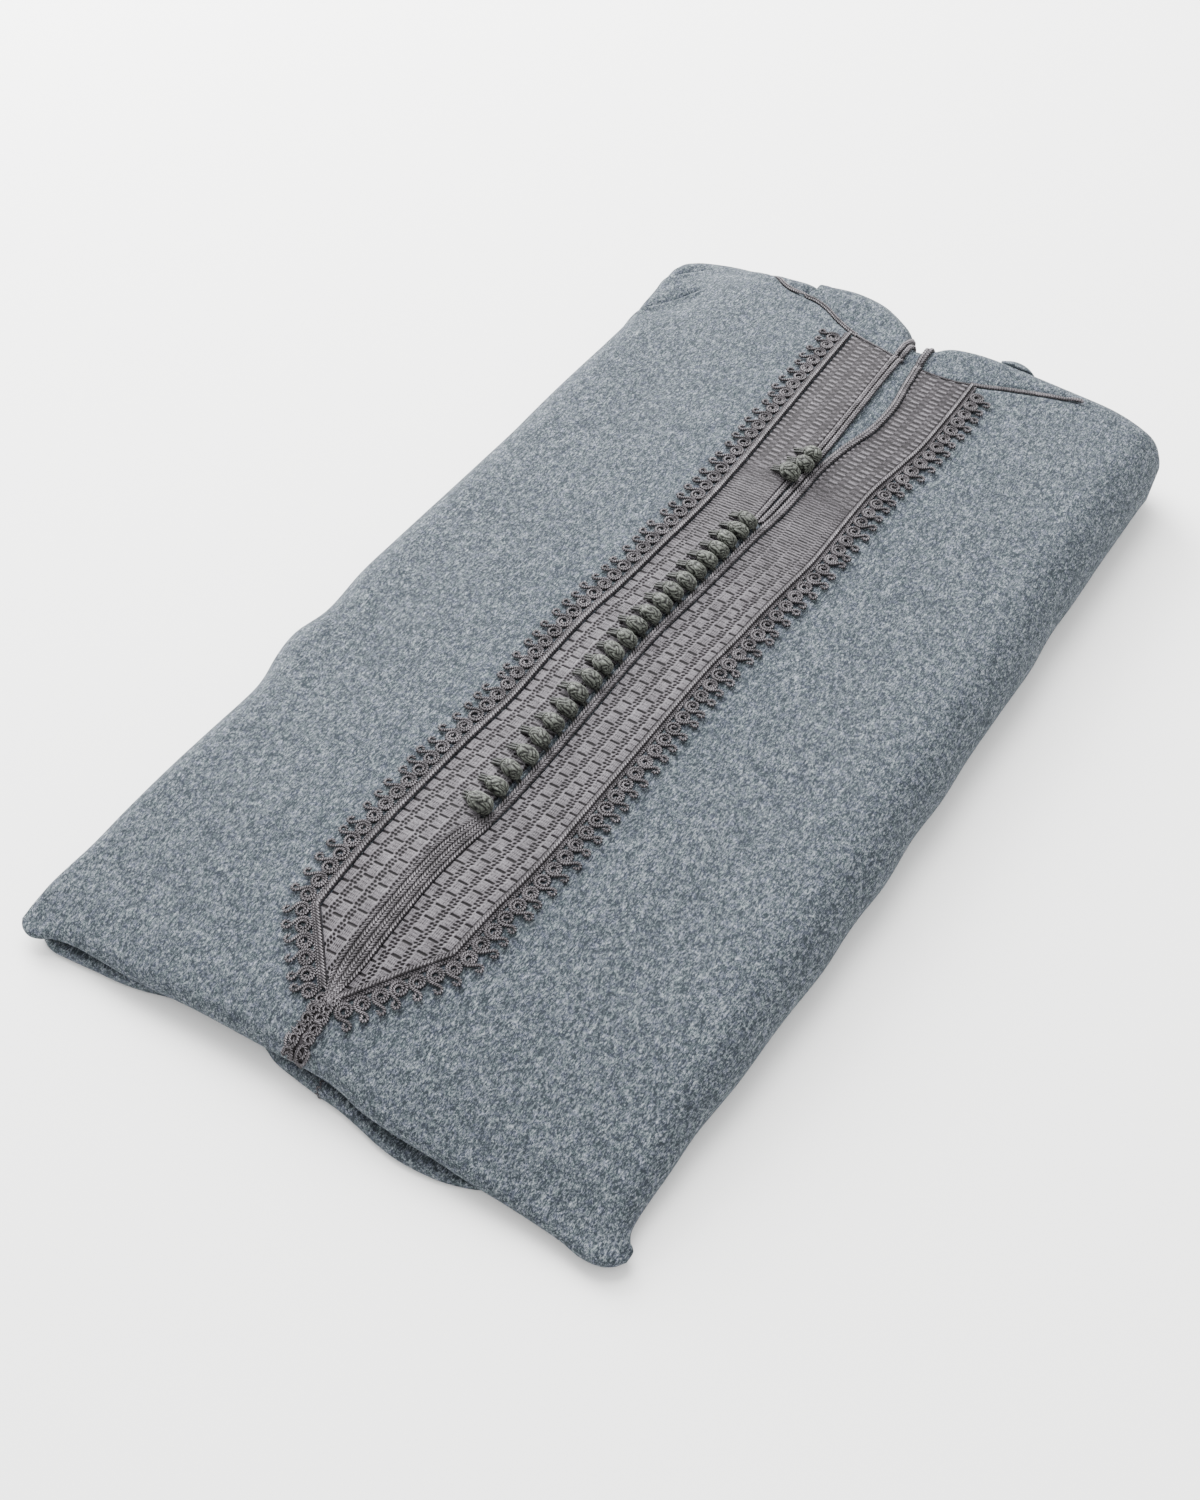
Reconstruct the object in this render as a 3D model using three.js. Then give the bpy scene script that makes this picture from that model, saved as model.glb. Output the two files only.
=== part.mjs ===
// Folded djellaba: a long hooded robe of grey wool cloth, folded into a flat packet with its chest up.
// Millimetres. X runs across the packet, Y from the fold of the skirt to the neck, Z is up. The packet
// rests on z = 0 with its middle over the origin.

import * as THREE from "three";

// ---- driving dimensions ----------------------------------------------------------------------------

const wool = 2.5; // thickness of the fulled cloth, nap included
const gap = 0.3; // air at every seam and under every trim
const innerBack = 2; // thickness of the back, pressed flat inside the neck
const pressed = 1.8; // thickness of the cloth where the sleeve, shoulder and lower skirt are pressed
const turnedLip = 0.4; // how much less than its radius the cloth turns under at the fold
const foldEnd = -265; // y of the fold of the skirt
const foldRadius = 5; // half the height of that pressed fold
const foldRest = 45; // how far from the fold the packet takes to reach its full side radius
const neckDepth = 484; // length of the front from the fold to the neck seam, at the slit
const turnUnder = [20, 45, 70]; // degrees that the cloth turns under past the packet's widest line
const cornerEvening = 9; // reach over which the outline's corners are evened as the cloth turns under
const foldEase = 14; // and how far from it they begin to draw in, by up to 1 mm
const cornerSlack = 0.5; // and how much more they draw in at the two far corners
const coreRecess = 12; // how far the hidden layers stand back behind the fold

const trimLift = 0.4; // a trim's height over the cloth at its own points, so it clears the cloth between them
const galloonThick = 0.9;
const cordThick = 2;
const scrollThick = 1.6;
const loopThick = 1;
const braidThick = 1.5;
const neckBraidLift = 0.55; // the neck braids bridge the seam a little higher than the other trims
const cordSetback = 0.25; // how far a cord lies from the slit's edge
const neckMargin = 3.3; // how far the galloons and their cords end below the neck seam
const cordPair = 3; // width of the two twisted cords that edge a galloon
const scrollReach = 11; // width of the curled cord trim
const bandWidth = 9; // width of the centre front band

// Half of the front, from the slit at 0 to the packet's side at 1.
const across = [0, 0.13, 0.25, 0.38, 0.5, 0.64, 0.77, 0.88, 0.95, 0.986, 1];
const hoodColumn = 5; // the neck seam ends at this entry of across
const lobeColumn = 4; // and the left lobe of the hood at this one
const flapColumn = 2; // the hood's small turned edge lies this many columns inside the seam's end
const flapRows = 3; // and takes this many rows up to the rim

// Distances from the fold of the skirt to the neck seam, closer where the cloth bends more.
const along = [0, 0.8, 2.6, 5.4, 11, 22, 42, 70, 105, 138, 156, 174, 200, 240, 282, 320, 345, 385, 425,
  458, neckDepth];
// Shares of the way from the neck seam to the far edge.
const beyond = [0.3, 0.6, 0.84, 0.96, 1];
const innerBackFrom = 345; // the inside of the back is built from this distance on

// The packet from the fold to the neck: its two sides, the height over the middle, and how much lower
// the cloth lies at the left and right shoulders of the packet.
const packet = [
  { y: -265, left: -137, right: 138.5, height: 20, dropLeft: 8, dropRight: 10.4 },
  { y: -262, left: -141.2, right: 142.2, height: 21, dropLeft: 8, dropRight: 10.2 },
  { y: -256, left: -142.5, right: 142.2, height: 23, dropLeft: 8, dropRight: 9.6 },
  { y: -245, left: -142.4, right: 139.4, height: 26, dropLeft: 8, dropRight: 9 },
  { y: -205, left: -141, right: 139.3, height: 33, dropLeft: 6, dropRight: 7.5 },
  { y: -160, left: -138.5, right: 140, height: 37.5, dropLeft: 5, dropRight: 6.5 },
  { y: -114, left: -136.8, right: 140.6, height: 39.5, dropLeft: 5, dropRight: 6 },
  { y: -98, left: -141, right: 140.8, height: 40, dropLeft: 5, dropRight: 6 },
  { y: -86, left: -141.8, right: 140.9, height: 40.4, dropLeft: 5, dropRight: 6 },
  { y: -66, left: -138.8, right: 141, height: 41, dropLeft: 4.5, dropRight: 6 },
  { y: -38, left: -139.6, right: 141, height: 41.8, dropLeft: 4, dropRight: 5.5 },
  { y: 52, left: -137, right: 141.2, height: 44, dropLeft: 4, dropRight: 5 },
  { y: 127, left: -135.5, right: 141, height: 45.4, dropLeft: 4, dropRight: 4.5 },
  { y: 187, left: -134, right: 141, height: 46, dropLeft: 4, dropRight: 4 },
  { y: 222, left: -129.5, right: 140.5, height: 46, dropLeft: 4, dropRight: 4 },
  { y: 266, left: -126, right: 137, height: 46, dropLeft: 4, dropRight: 4 },
];

// Height of the fold's edge over the surface: it bows up in the middle and droops at the right.
const fold = [
  { x: -140, height: 7 },
  { x: -118, height: 9.6 },
  { x: -90, height: 12.4 },
  { x: -50, height: 14.5 },
  { x: 0, height: 15 },
  { x: 40, height: 13.6 },
  { x: 75, height: 11.4 },
  { x: 110, height: 8.6 },
  { x: 130, height: 6.2 },
  { x: 142, height: 5.2 },
];

// The neck seam, and the shoulder lines that carry it on to the sides.
const neckSeam = [
  { x: -131, y: 208 },
  { x: -118, y: 230 },
  { x: -105, y: 243 },
  { x: -94, y: 249 },
  { x: -83, y: 252.5 },
  { x: -70, y: 249.5 },
  { x: -59, y: 245.5 },
  { x: -44, y: 238 },
  { x: -34, y: 232 },
  { x: -22, y: 226.5 },
  { x: 2, y: 220.5 },
  { x: 15, y: 217.5 },
  { x: 36, y: 218 },
  { x: 50, y: 222 },
  { x: 66, y: 228.5 },
  { x: 96, y: 238 },
  { x: 115, y: 236 },
  { x: 130, y: 229 },
  { x: 141, y: 216 },
];

// The far edge from shoulder to shoulder, over the two lobes of the hood and the notch between them:
// the height of its widest line, the radius it rounds with, and the height where the cloth ends below.
const farEdge = [
  { x: -126, y: 233, mid: 34, radius: 8, low: 25 },
  { x: -119, y: 241.5, mid: 34, radius: 8, low: 25 },
  { x: -110, y: 249, mid: 33, radius: 9, low: 23 },
  { x: -98, y: 255.5, mid: 32, radius: 10, low: 20 },
  { x: -83, y: 260, mid: 31, radius: 12, low: 15 },
  { x: -62, y: 262.5, mid: 31, radius: 13, low: 12 },
  { x: -39, y: 266, mid: 31, radius: 14, low: 11 },
  { x: -19, y: 261, mid: 31, radius: 13, low: 11 },
  { x: -5, y: 251, mid: 32, radius: 12, low: 12 },
  { x: 9.4, y: 231, mid: 33, radius: 9, low: 14 },
  { x: 15, y: 233, mid: 33, radius: 9, low: 14 },
  { x: 27, y: 247, mid: 32, radius: 12, low: 12 },
  { x: 40, y: 251, mid: 31, radius: 13, low: 11 },
  { x: 60, y: 252, mid: 30, radius: 14, low: 10 },
  { x: 95, y: 251, mid: 28, radius: 15, low: 8 },
  { x: 117, y: 249.5, mid: 24, radius: 17, low: 2 },
  { x: 129, y: 244.5, mid: 22, radius: 19, low: 0 },
  { x: 137, y: 236, mid: 21, radius: 20, low: 0 },
];
const leftCorner = farEdge[0];
const rightCorner = farEdge[farEdge.length - 1];

// The plastron from the point to the neck: outer and inner edge of the left galloon, the edges of the
// two fronts, inner and outer edge of the right galloon.
const plastron = table(
  ["y", "outerLeft", "innerLeft", "slitLeft", "slitRight", "innerRight", "outerRight"],
  [
    [-265, -34, -14, -4.6, -4.5, -1, 24],
    [-236, -34, -13.4, -6.4, -6.3, -1, 24],
    [-208, -34, -12.9, -6.6, -6.5, -1, 24],
    [-180, -34, -11.7, -6.3, -6.2, -0.5, 26.4],
    [-160, -33.4, -9.8, -4.3, -4.2, 1.5, 29],
    [-140, -32, -4, -0.2, -0.1, 4.5, 30.6],
    [-110, -30, -1.2, 1.6, 1.7, 6, 31.3],
    [-80, -27.4, -1, 1.6, 1.7, 6.2, 31.9],
    [-50, -27.5, -1, 1.4, 1.5, 6, 32.4],
    [-20, -26.6, -0.6, 1.9, 2, 6.3, 33.2],
    [0, -24.4, 1, 3.6, 3.7, 8, 35],
    [20, -22.8, 2.6, 5.5, 5.6, 10, 36.2],
    [40, -21.4, 3.8, 7.1, 7.2, 11.5, 38],
    [60, -19.8, 4, 8.6, 8.7, 13, 40],
    [80, -19, 3.8, 10.6, 10.7, 15.2, 40.2],
    [100, -19, 3.8, 11.5, 11.6, 16, 40.2],
    [120, -19.4, 4.6, 11.6, 12.1, 16.2, 40.8],
    [140, -20, 5, 11.2, 14.7, 18.9, 43.4],
    [160, -20.6, 4.6, 10.6, 19.3, 23.6, 46],
    [180, -21.2, 4.2, 10, 20.4, 24.7, 46.6],
    [200, -21.7, 3.5, 9.4, 17.9, 22.4, 46.6],
    [225, -22.4, 2.6, 9.3, 15.2, 19.4, 46],
  ],
);
// The cut of each galloon to the point, from its shoulder to its tip.
const point = {
  left: { side: -1, shoulder: [-34, -210], tip: [-14.2, -232] },
  right: { side: 1, shoulder: [24.2, -203], tip: [-0.4, -235] },
};
const braidStart = -143; // y of the top of the centre braid
const rowTop = 72.5; // y where the buttons' loops give way to the slit's left cords
const slitCordEnd = 218; // y where the slit's cords reach the neck

// Knotted buttons: a long row that opens out towards the point, and three at the chest.
const knotRow = { count: 23, first: 67.5, pitch: 7.9, growth: 0.134, fromSlit: 4.8, halfLength: 5.4 };
const chestKnots = [
  { name: "button_01", x: 8.2, y: 124, radius: 3.8 },
  { name: "button_02", x: 8.4, y: 115.5, radius: 4 },
  { name: "button_03", x: 5.4, y: 106.4, radius: 4.5 },
];
const lastKnot = 1.1; // the last button of the row is this much bigger

// The skirt's lower fold, seen under the first: its edge and its height.
const lowerFold = [
  { x: -112, y: -257, height: 4.4 },
  { x: -95, y: -262.5, height: 6.2 },
  { x: -70, y: -262, height: 7 },
  { x: -45, y: -257, height: 7.2 },
  { x: -8, y: -257, height: 7.2 },
  { x: 5.85, y: -260.5, height: 7.2 },
  { x: 6.15, y: -260.5, height: 7.2 },
  { x: 22, y: -266, height: 7.2 },
  { x: 50, y: -267.45, height: 6.2 },
  { x: 75, y: -264.6, height: 4.9 },
  { x: 98, y: -257, height: 3.6 },
];
const lowerSeam = 6; // x of the centre front seam on the lower fold

const slots = {
  wool: { color: 0x8a939c, roughness: 0.95 },
  galloon: { color: 0x918c90, roughness: 0.7 },
  cord: { color: 0x837d82, roughness: 0.75 },
  knot: { color: 0x6c726b, roughness: 0.8 },
};

// ---- tables and small vectors ----------------------------------------------------------------------

// A table's rows as objects, from the names of its columns.
function table(names, rows) {
  return rows.map((row) => Object.fromEntries(names.map((name, k) => [name, row[k]])));
}

// Smooth reading of one column of a table, by another that rises down the table.
function read(table, by, at, column) {
  const last = table.length - 1;
  if (at <= table[0][by]) return table[0][column];
  if (at >= table[last][by]) return table[last][column];
  let row = 0;
  while (table[row + 1][by] < at) row += 1;
  const slope = (k) => {
    const a = table[Math.max(k - 1, 0)];
    const b = table[Math.min(k + 1, last)];
    return (b[column] - a[column]) / (b[by] - a[by]);
  };
  const from = table[row];
  const to = table[row + 1];
  const step = to[by] - from[by];
  const t = (at - from[by]) / step;
  const rise = to[column] - from[column];
  const startPull = slope(row) * step - rise;
  const endPull = rise - slope(row + 1) * step;
  return from[column] + t * rise + t * (1 - t) * ((1 - t) * startPull + t * endPull);
}

function ease(t) {
  const c = Math.min(Math.max(t, 0), 1);
  return c * c * (3 - 2 * c);
}

function mix(a, b, t) {
  return a + (b - a) * t;
}

function vector(x, y, z) {
  return new THREE.Vector3(x, y, z);
}

// ---- the packet's outer surface --------------------------------------------------------------------

// Height of the cloth before it rounds off at the packet's edges, with the two lobes of the hood.
function height(x, y) {
  const drop = read(packet, "y", y, x < 0 ? "dropLeft" : "dropRight");
  const lobe = (cx, cy, width, depth, rise) => (
    rise * Math.exp(-(((x - cx) / width) ** 2) - ((y - cy) / depth) ** 2)
  );
  const lobes = lobe(-34, 250, 30, 13, 3) + lobe(42, 241, 34, 11, 2);
  return read(packet, "y", y, "height") - drop * (x / 141) ** 2 + lobes;
}

// Plan position of one point of the surface: side is -1 or 1, share runs from the slit to the side.
function plan(side, share, row) {
  const seamRows = along.length - 1;
  const name = side < 0 ? "left" : "right";
  const slit = side < 0 ? "slitLeft" : "slitRight";
  const onSeam = (fraction) => {
    const sideNeck = read(neckSeam, "x", side < 0 ? -131 : 141, "y");
    const middleY = foldEnd + neckDepth * fraction;
    const sideY = foldEnd + (sideNeck - foldEnd) * fraction;
    const from = read(plastron, "y", middleY, slit);
    const to = read(packet, "y", sideY, name);
    const x = mix(from, to, share);
    return [x, mix(foldEnd, read(neckSeam, "x", x, "y"), fraction)];
  };
  if (row <= seamRows) return onSeam(along[row] / neckDepth);
  const [x, y] = onSeam(1);
  const corner = side < 0 ? leftCorner.x : rightCorner.x;
  const start = side < 0 ? 9.4 : 15;
  const farX = mix(start, corner, share);
  const t = beyond[row - seamRows - 1];
  return [mix(x, farX, t), mix(y, read(farEdge, "x", farX, "y"), t)];
}

// Mid height, radius and lowest height of the packet's edge at a point of its outline.
function edgeForm(x, y, region) {
  const foldMid = read(fold, "x", x, "height");
  const foldForm = { mid: foldMid, radius: foldRadius, low: foldMid - foldRadius + turnedLip };
  if (region === "fold") return foldForm;
  const far = {
    mid: read(farEdge, "x", x, "mid"),
    radius: read(farEdge, "x", x, "radius"),
    low: read(farEdge, "x", x, "low"),
  };
  if (region === "far") return far;
  const half = height(x, y) / 2;
  const nearFold = ease((y - foldEnd) / foldRest);
  const corner = x < 0 ? leftCorner : rightCorner;
  const nearCorner = ease((y - 185) / (corner.y - 185));
  const blend = (key, sideValue) => mix(mix(foldForm[key], sideValue, nearFold), corner[key], nearCorner);
  return { mid: blend("mid", half), radius: blend("radius", half), low: blend("low", 0) };
}

const rowCount = along.length + beyond.length;
const columns = [
  ...across.map((share) => ({ side: -1, share })).reverse(),
  ...across.map((share) => ({ side: 1, share })),
];
const columnCount = columns.length;
const slitColumn = across.length - 1; // the cells between this column and the next are the slit
const neckRow = along.length - 1;
const index = (row, column) => row * columnCount + column;

// The outline as a loop of grid points, anticlockwise from the fold's left end.
const rim = [];
for (let c = 0; c < columnCount; c += 1) rim.push({ at: index(0, c), region: "fold" });
for (let r = 1; r < rowCount; r += 1) rim.push({ at: index(r, columnCount - 1), region: "side" });
for (let c = columnCount - 2; c >= 0; c -= 1) rim.push({ at: index(rowCount - 1, c), region: "far" });
for (let r = rowCount - 2; r > 0; r -= 1) rim.push({ at: index(r, 0), region: "side" });

const points = [];
for (let r = 0; r < rowCount; r += 1) {
  for (const { side, share } of columns) points.push(vector(...plan(side, share, r), 0));
}
for (const spot of rim) Object.assign(spot, edgeForm(points[spot.at].x, points[spot.at].y, spot.region));

// Nearest place on the outline, with its distance and the edge's form there.
function nearestEdge(x, y) {
  let best = { distance: Infinity };
  rim.forEach((a, k) => {
    const b = rim[(k + 1) % rim.length];
    const p = points[a.at];
    const q = points[b.at];
    const dx = q.x - p.x;
    const dy = q.y - p.y;
    const raw = ((x - p.x) * dx + (y - p.y) * dy) / (dx * dx + dy * dy);
    const t = Math.min(Math.max(raw, 0), 1);
    const distance = Math.hypot(x - p.x - t * dx, y - p.y - t * dy);
    if (distance < best.distance) {
      best = { distance, mid: mix(a.mid, b.mid, t), radius: mix(a.radius, b.radius, t) };
    }
  });
  return best;
}

// Each point rises from the edge's mid height to the full height along a quarter of an ellipse.
for (const point of points) {
  const edge = nearestEdge(point.x, point.y);
  const inward = 1 - Math.min(edge.distance / edge.radius, 1);
  point.z = edge.mid + (height(point.x, point.y) - edge.mid) * Math.sqrt(1 - inward * inward);
}

// Inward direction in plan at each point of the rim, evened over its neighbours so corners stay open.
const sideways = rim.map((spot, k) => {
  const before = points[rim[(k + rim.length - 1) % rim.length].at];
  const after = points[rim[(k + 1) % rim.length].at];
  return vector(before.y - after.y, after.x - before.x, 0);
});
const inwards = rim.map((spot) => {
  const sum = vector(0, 0, 0);
  const here = points[spot.at];
  rim.forEach((other, k) => {
    const distance = Math.hypot(here.x - points[other.at].x, here.y - points[other.at].y);
    sum.addScaledVector(sideways[k], Math.exp(-((distance / cornerEvening) ** 2)));
  });
  return sum.normalize();
});

// The cloth turned under all round: rows of points below the rim.
const under = [rim.map((spot) => spot.at)];
turnUnder.forEach((degrees) => {
  const angle = THREE.MathUtils.degToRad(degrees);
  const start = points.length;
  rim.forEach((spot, k) => {
    const moved = points[spot.at].clone().addScaledVector(inwards[k], spot.radius * (1 - Math.cos(angle)));
    moved.z = spot.mid - (spot.mid - spot.low) * Math.sin(angle);
    points.push(moved);
  });
  under.push(rim.map((spot, k) => start + k));
});

// Four-cornered cells, anticlockwise seen from outside, each with the place it belongs to.
const cells = [];
for (let r = 0; r < rowCount - 1; r += 1) {
  for (let c = 0; c < columnCount - 1; c += 1) {
    const corners = [index(r, c), index(r, c + 1), index(r + 1, c + 1), index(r + 1, c)];
    cells.push({ corners, row: r, column: c });
  }
}
const cellAt = new Map(cells.map((cell) => [`${cell.row} ${cell.column}`, cell]));
rim.forEach((spot, k) => {
  const next = (k + 1) % rim.length;
  const low = [spot.at, rim[next].at].map((at) => [Math.floor(at / columnCount), at % columnCount]);
  const row = Math.min(low[0][0], low[1][0], rowCount - 2);
  const column = Math.min(low[0][1], low[1][1], columnCount - 2);
  for (let u = 0; u < under.length - 1; u += 1) {
    const corners = [under[u][k], under[u + 1][k], under[u + 1][next], under[u][next]];
    cells.push({ corners, row: cellAt.get(`${row} ${column}`).row, column, turned: true });
  }
});

function normalsOf(list, quads) {
  const normals = list.map(() => vector(0, 0, 0));
  for (const [a, b, c, d] of quads) {
    const across1 = list[c].clone().sub(list[a]);
    const across2 = list[d].clone().sub(list[b]);
    const area = across1.cross(across2);
    for (const k of [a, b, c, d]) normals[k].add(area);
  }
  return normals.map((n) => n.normalize());
}

const normals = normalsOf(points, cells.map((cell) => cell.corners));

// ---- making solids ---------------------------------------------------------------------------------

const garment = new THREE.Group();

function add(name, slot, vertices, triangles) {
  const used = new Map();
  const flat = [];
  const order = triangles.flat().map((k) => {
    if (!used.has(k)) {
      used.set(k, used.size);
      flat.push(vertices[k].x, vertices[k].y, vertices[k].z);
    }
    return used.get(k);
  });
  const geometry = new THREE.BufferGeometry();
  geometry.setAttribute("position", new THREE.Float32BufferAttribute(flat, 3));
  geometry.setIndex(order);
  const mesh = new THREE.Mesh(geometry, new THREE.MeshStandardMaterial({ ...slots[slot], metalness: 0 }));
  mesh.name = name;
  garment.add(mesh);
}

function halves([a, b, c, d]) {
  return [[a, b, c], [a, c, d]];
}

// Edges that only one cell has, each as [from, to] in that cell's direction.
function openEdges(quads) {
  const seen = new Map();
  for (const quad of quads) {
    quad.forEach((a, k) => seen.set(`${a} ${quad[(k + 1) % 4]}`, [a, quad[(k + 1) % 4]]));
  }
  return [...seen.values()].filter(([a, b]) => !seen.has(`${b} ${a}`));
}

// A wall between two copies of the same cells, closed along its open edges.
function wall(name, slot, outer, inner, quads) {
  const count = outer.length;
  const triangles = quads.flatMap(halves);
  triangles.push(...quads.flatMap(([a, b, c, d]) => halves([a + count, d + count, c + count, b + count])));
  for (const [a, b] of openEdges(quads)) triangles.push(...halves([b, a, a + count, b + count]));
  add(name, slot, [...outer, ...inner], triangles);
}

// A piece of the packet's outer cloth: the cells it takes, with its edges drawn in by half a gap.
function clothPiece(name, takes, depth = 0, thick = wool) {
  const quads = cells.filter(takes).map((cell) => cell.corners);
  const pull = new Map();
  for (const [a, b] of openEdges(quads)) {
    const run = points[b].clone().sub(points[a]).normalize();
    for (const k of [a, b]) {
      const inward = normals[k].clone().cross(run).normalize();
      pull.set(k, (pull.get(k) || vector(0, 0, 0)).add(inward));
    }
  }
  const drawn = points.map((p, k) => {
    const moved = p.clone().addScaledVector(normals[k], -depth);
    return pull.has(k) ? moved.addScaledVector(pull.get(k).normalize(), gap / 2) : moved;
  });
  const inner = drawn.map((p, k) => p.clone().addScaledVector(normals[k], -thick));
  wall(name, "wool", drawn, inner, quads);
}

// A strip of cells over rows of points, each row as long as the next.
function stripCells(rows, width) {
  const quads = [];
  for (let r = 0; r < rows - 1; r += 1) {
    for (let c = 0; c < width - 1; c += 1) {
      quads.push([r * width + c, r * width + c + 1, (r + 1) * width + c + 1, (r + 1) * width + c]);
    }
  }
  return quads;
}

// ---- the cloth -------------------------------------------------------------------------------------

const leftHood = slitColumn - hoodColumn;
const leftLobe = slitColumn - lobeColumn;
const rightHood = slitColumn + 1 + hoodColumn;
const beyondSeam = (cell) => cell.row >= neckRow;

clothPiece("front_left", (cell) => (
  cell.column < slitColumn && (!beyondSeam(cell) || cell.column < leftHood)
));
clothPiece("front_right", (cell) => (
  cell.column > slitColumn && (!beyondSeam(cell) || cell.column >= rightHood)
));
clothPiece("hood_left", (cell) => (
  beyondSeam(cell) && cell.column >= leftLobe && cell.column < slitColumn
));
clothPiece("hood_under_left", (cell) => (
  beyondSeam(cell) && cell.column >= leftHood && cell.column < leftLobe
));
clothPiece("hood_right", (cell) => (
  beyondSeam(cell) && cell.column > slitColumn && cell.column < rightHood
));

// The small turned edge of the hood lies on its outside.
clothPiece("hood_flap_right", (cell) => (
  cell.row >= rowCount - flapRows && cell.column === rightHood - flapColumn
), -gap - pressed, pressed);

// The inside of the back, seen through the slit, between the fronts and the hidden layers.
const backRow = along.indexOf(innerBackFrom);
const backColumns = [slitColumn - 2, slitColumn + 3];
const inBack = (row, column) => (
  row >= backRow && row <= neckRow && column >= backColumns[0] && column <= backColumns[1]
);
clothPiece("back_inside", (cell) => (
  !cell.turned && inBack(cell.row, cell.column) && inBack(cell.row + 1, cell.column + 1)
), wool + gap, innerBack);

// The hidden layers: skirt, gores, sleeves and back, folded flat on each other, as one rounded solid.
// It follows the cloth from below, then steps in and out below it as the edges of its layers.
function foldedLayers() {
  const core = points.map((p, k) => {
    const row = Math.floor(k / columnCount);
    const underBack = k < rowCount * columnCount && inBack(row, k % columnCount);
    const fromCorner = Math.min(...[leftCorner, rightCorner].map((c) => Math.hypot(p.x - c.x, p.y - c.y)));
    const nearCorner = cornerSlack * Math.exp(-((fromCorner / foldEase) ** 2));
    const nearFold = ease((foldEnd + foldEase - p.y) / foldEase);
    const depth = wool + gap + nearCorner + (underBack ? innerBack + gap : nearFold);
    return p.clone().addScaledVector(normals[k], -depth);
  });
  const quads = cells.map((cell) => cell.corners);
  const bottom = under[under.length - 1];
  const size = bottom.length;
  const layers = [
    { fold: [6, 0.95], side: [1, 0.8], far: [3, 0.86] },
    { fold: [coreRecess, 0.9], side: [2, 0.6], far: [0.6, 0.68] },
    { fold: [coreRecess, 0.6], side: [3, 0.4], far: [3, 0.5] },
    { fold: [coreRecess, 0.3], side: [3.5, 0.2], far: [0.6, 0.27] },
    { fold: [coreRecess, 0], side: [4, 0], far: [2.6, 0] },
  ];
  const rings = [bottom];
  for (const layer of layers) {
    const start = core.length;
    bottom.forEach((at, k) => {
      const p = core[at];
      const nearFold = 1 - ease((p.y - foldEnd - 5) / 18);
      const nearFar = ease((p.y - 205) / 25) * ease((128 - p.x) / 20);
      const share = (which) => (
        mix(mix(layer.side[which], layer.far[which], nearFar), layer.fold[which], nearFold)
      );
      core.push(p.clone().addScaledVector(inwards[k], share(0)).setZ(p.z * share(1)));
    });
    const ring = bottom.map((at, k) => start + k);
    const above = rings[rings.length - 1];
    ring.forEach((at, k) => {
      const next = (k + 1) % size;
      quads.push([above[k], at, ring[next], above[next]]);
    });
    rings.push(ring);
  }
  const triangles = quads.flatMap(halves);
  const middle = core.push(vector(0, 0, 0)) - 1;
  const floor = rings[rings.length - 1];
  floor.forEach((at, k) => triangles.push([floor[(k + 1) % size], at, middle]));
  add("folded_layers", "wool", core, triangles);
}
foldedLayers();

// The lower fold of the skirt: a doubled edge of cloth on the surface, left and right of the seam.
function lowerFoldPiece(name, from, to, count) {
  const back = foldEnd + coreRecess + 4.6;
  const turns = [90, 50, 15, -15, -50, -90];
  const outer = [];
  for (let k = 0; k <= count; k += 1) {
    const x = mix(from, to, k / count);
    const top = read(lowerFold, "x", x, "height");
    const radius = top / 2;
    const edge = read(lowerFold, "x", x, "y");
    outer.push(vector(x, back, top));
    for (const degrees of turns) {
      const angle = THREE.MathUtils.degToRad(degrees);
      outer.push(vector(x, edge + radius * (1 - Math.cos(angle)), radius * (1 + Math.sin(angle))));
    }
    outer.push(vector(x, back, 0));
  }
  const quads = stripCells(count + 1, turns.length + 2);
  const facing = normalsOf(outer, quads);
  const inner = outer.map((p, k) => {
    const moved = p.clone().addScaledVector(facing[k], -pressed);
    return vector(p.x, moved.y, moved.z);
  });
  wall(name, "wool", outer, inner, quads);
}
lowerFoldPiece("skirt_lower_left", lowerFold[0].x, lowerSeam - gap / 2, 8);
lowerFoldPiece("skirt_lower_right", lowerSeam + gap / 2, lowerFold[lowerFold.length - 1].x, 7);

// Two layers that show outside the left front at the far corner: the sleeve's fold and the shoulder.
// Each runs along the corner of the outline, and its section goes out from the front and down.
function cornerLayer(name, from, to, start, bulge, section) {
  const first = rim.findIndex((spot) => spot.at === index(to, 0));
  const path = [];
  for (let r = from; r <= to; r += 1) path.push(rim[(first + to - r) % rim.length]);
  for (let c = 1; c <= slitColumn - hoodColumn; c += 1) path.push({ at: index(rowCount - 1, c) });
  const outer = [];
  path.forEach((spot, k) => {
    const p = points[spot.at];
    const before = points[path[Math.max(k - 1, 0)].at];
    const after = points[path[Math.min(k + 1, path.length - 1)].at];
    const outward = vector(before.y - after.y, after.x - before.x, 0).normalize();
    const reach = bulge * Math.sin((Math.PI * (k + 0.6)) / (path.length + 0.2)) ** 0.7;
    for (const [out, z] of section) {
      const far = start + out * (pressed + gap + reach);
      outer.push(vector(p.x + outward.x * far, p.y + outward.y * far, z));
    }
  });
  const quads = stripCells(path.length, section.length).map((quad) => quad.reverse());
  const facing = normalsOf(outer, quads);
  wall(name, "wool", outer, outer.map((p, k) => p.clone().addScaledVector(facing[k], -pressed)), quads);
}
cornerLayer("sleeve_left", neckRow - 3, rowCount - 1, 0.7, 4.5,
  [[0, 36], [0.5, 35.6], [0.88, 33.4], [1, 30.4], [0.9, 27.4]]);
cornerLayer("shoulder_left", neckRow - 1, rowCount - 1, 2.6, 7.5,
  [[0.05, 27.1], [0.6, 26.4], [0.9, 22.5], [1, 15], [0.92, 7], [0.7, 1.5]]);

// ---- trims on the cloth ----------------------------------------------------------------------------

const topCells = cells.filter((cell) => !cell.turned).flatMap((cell) => halves(cell.corners));

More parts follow.
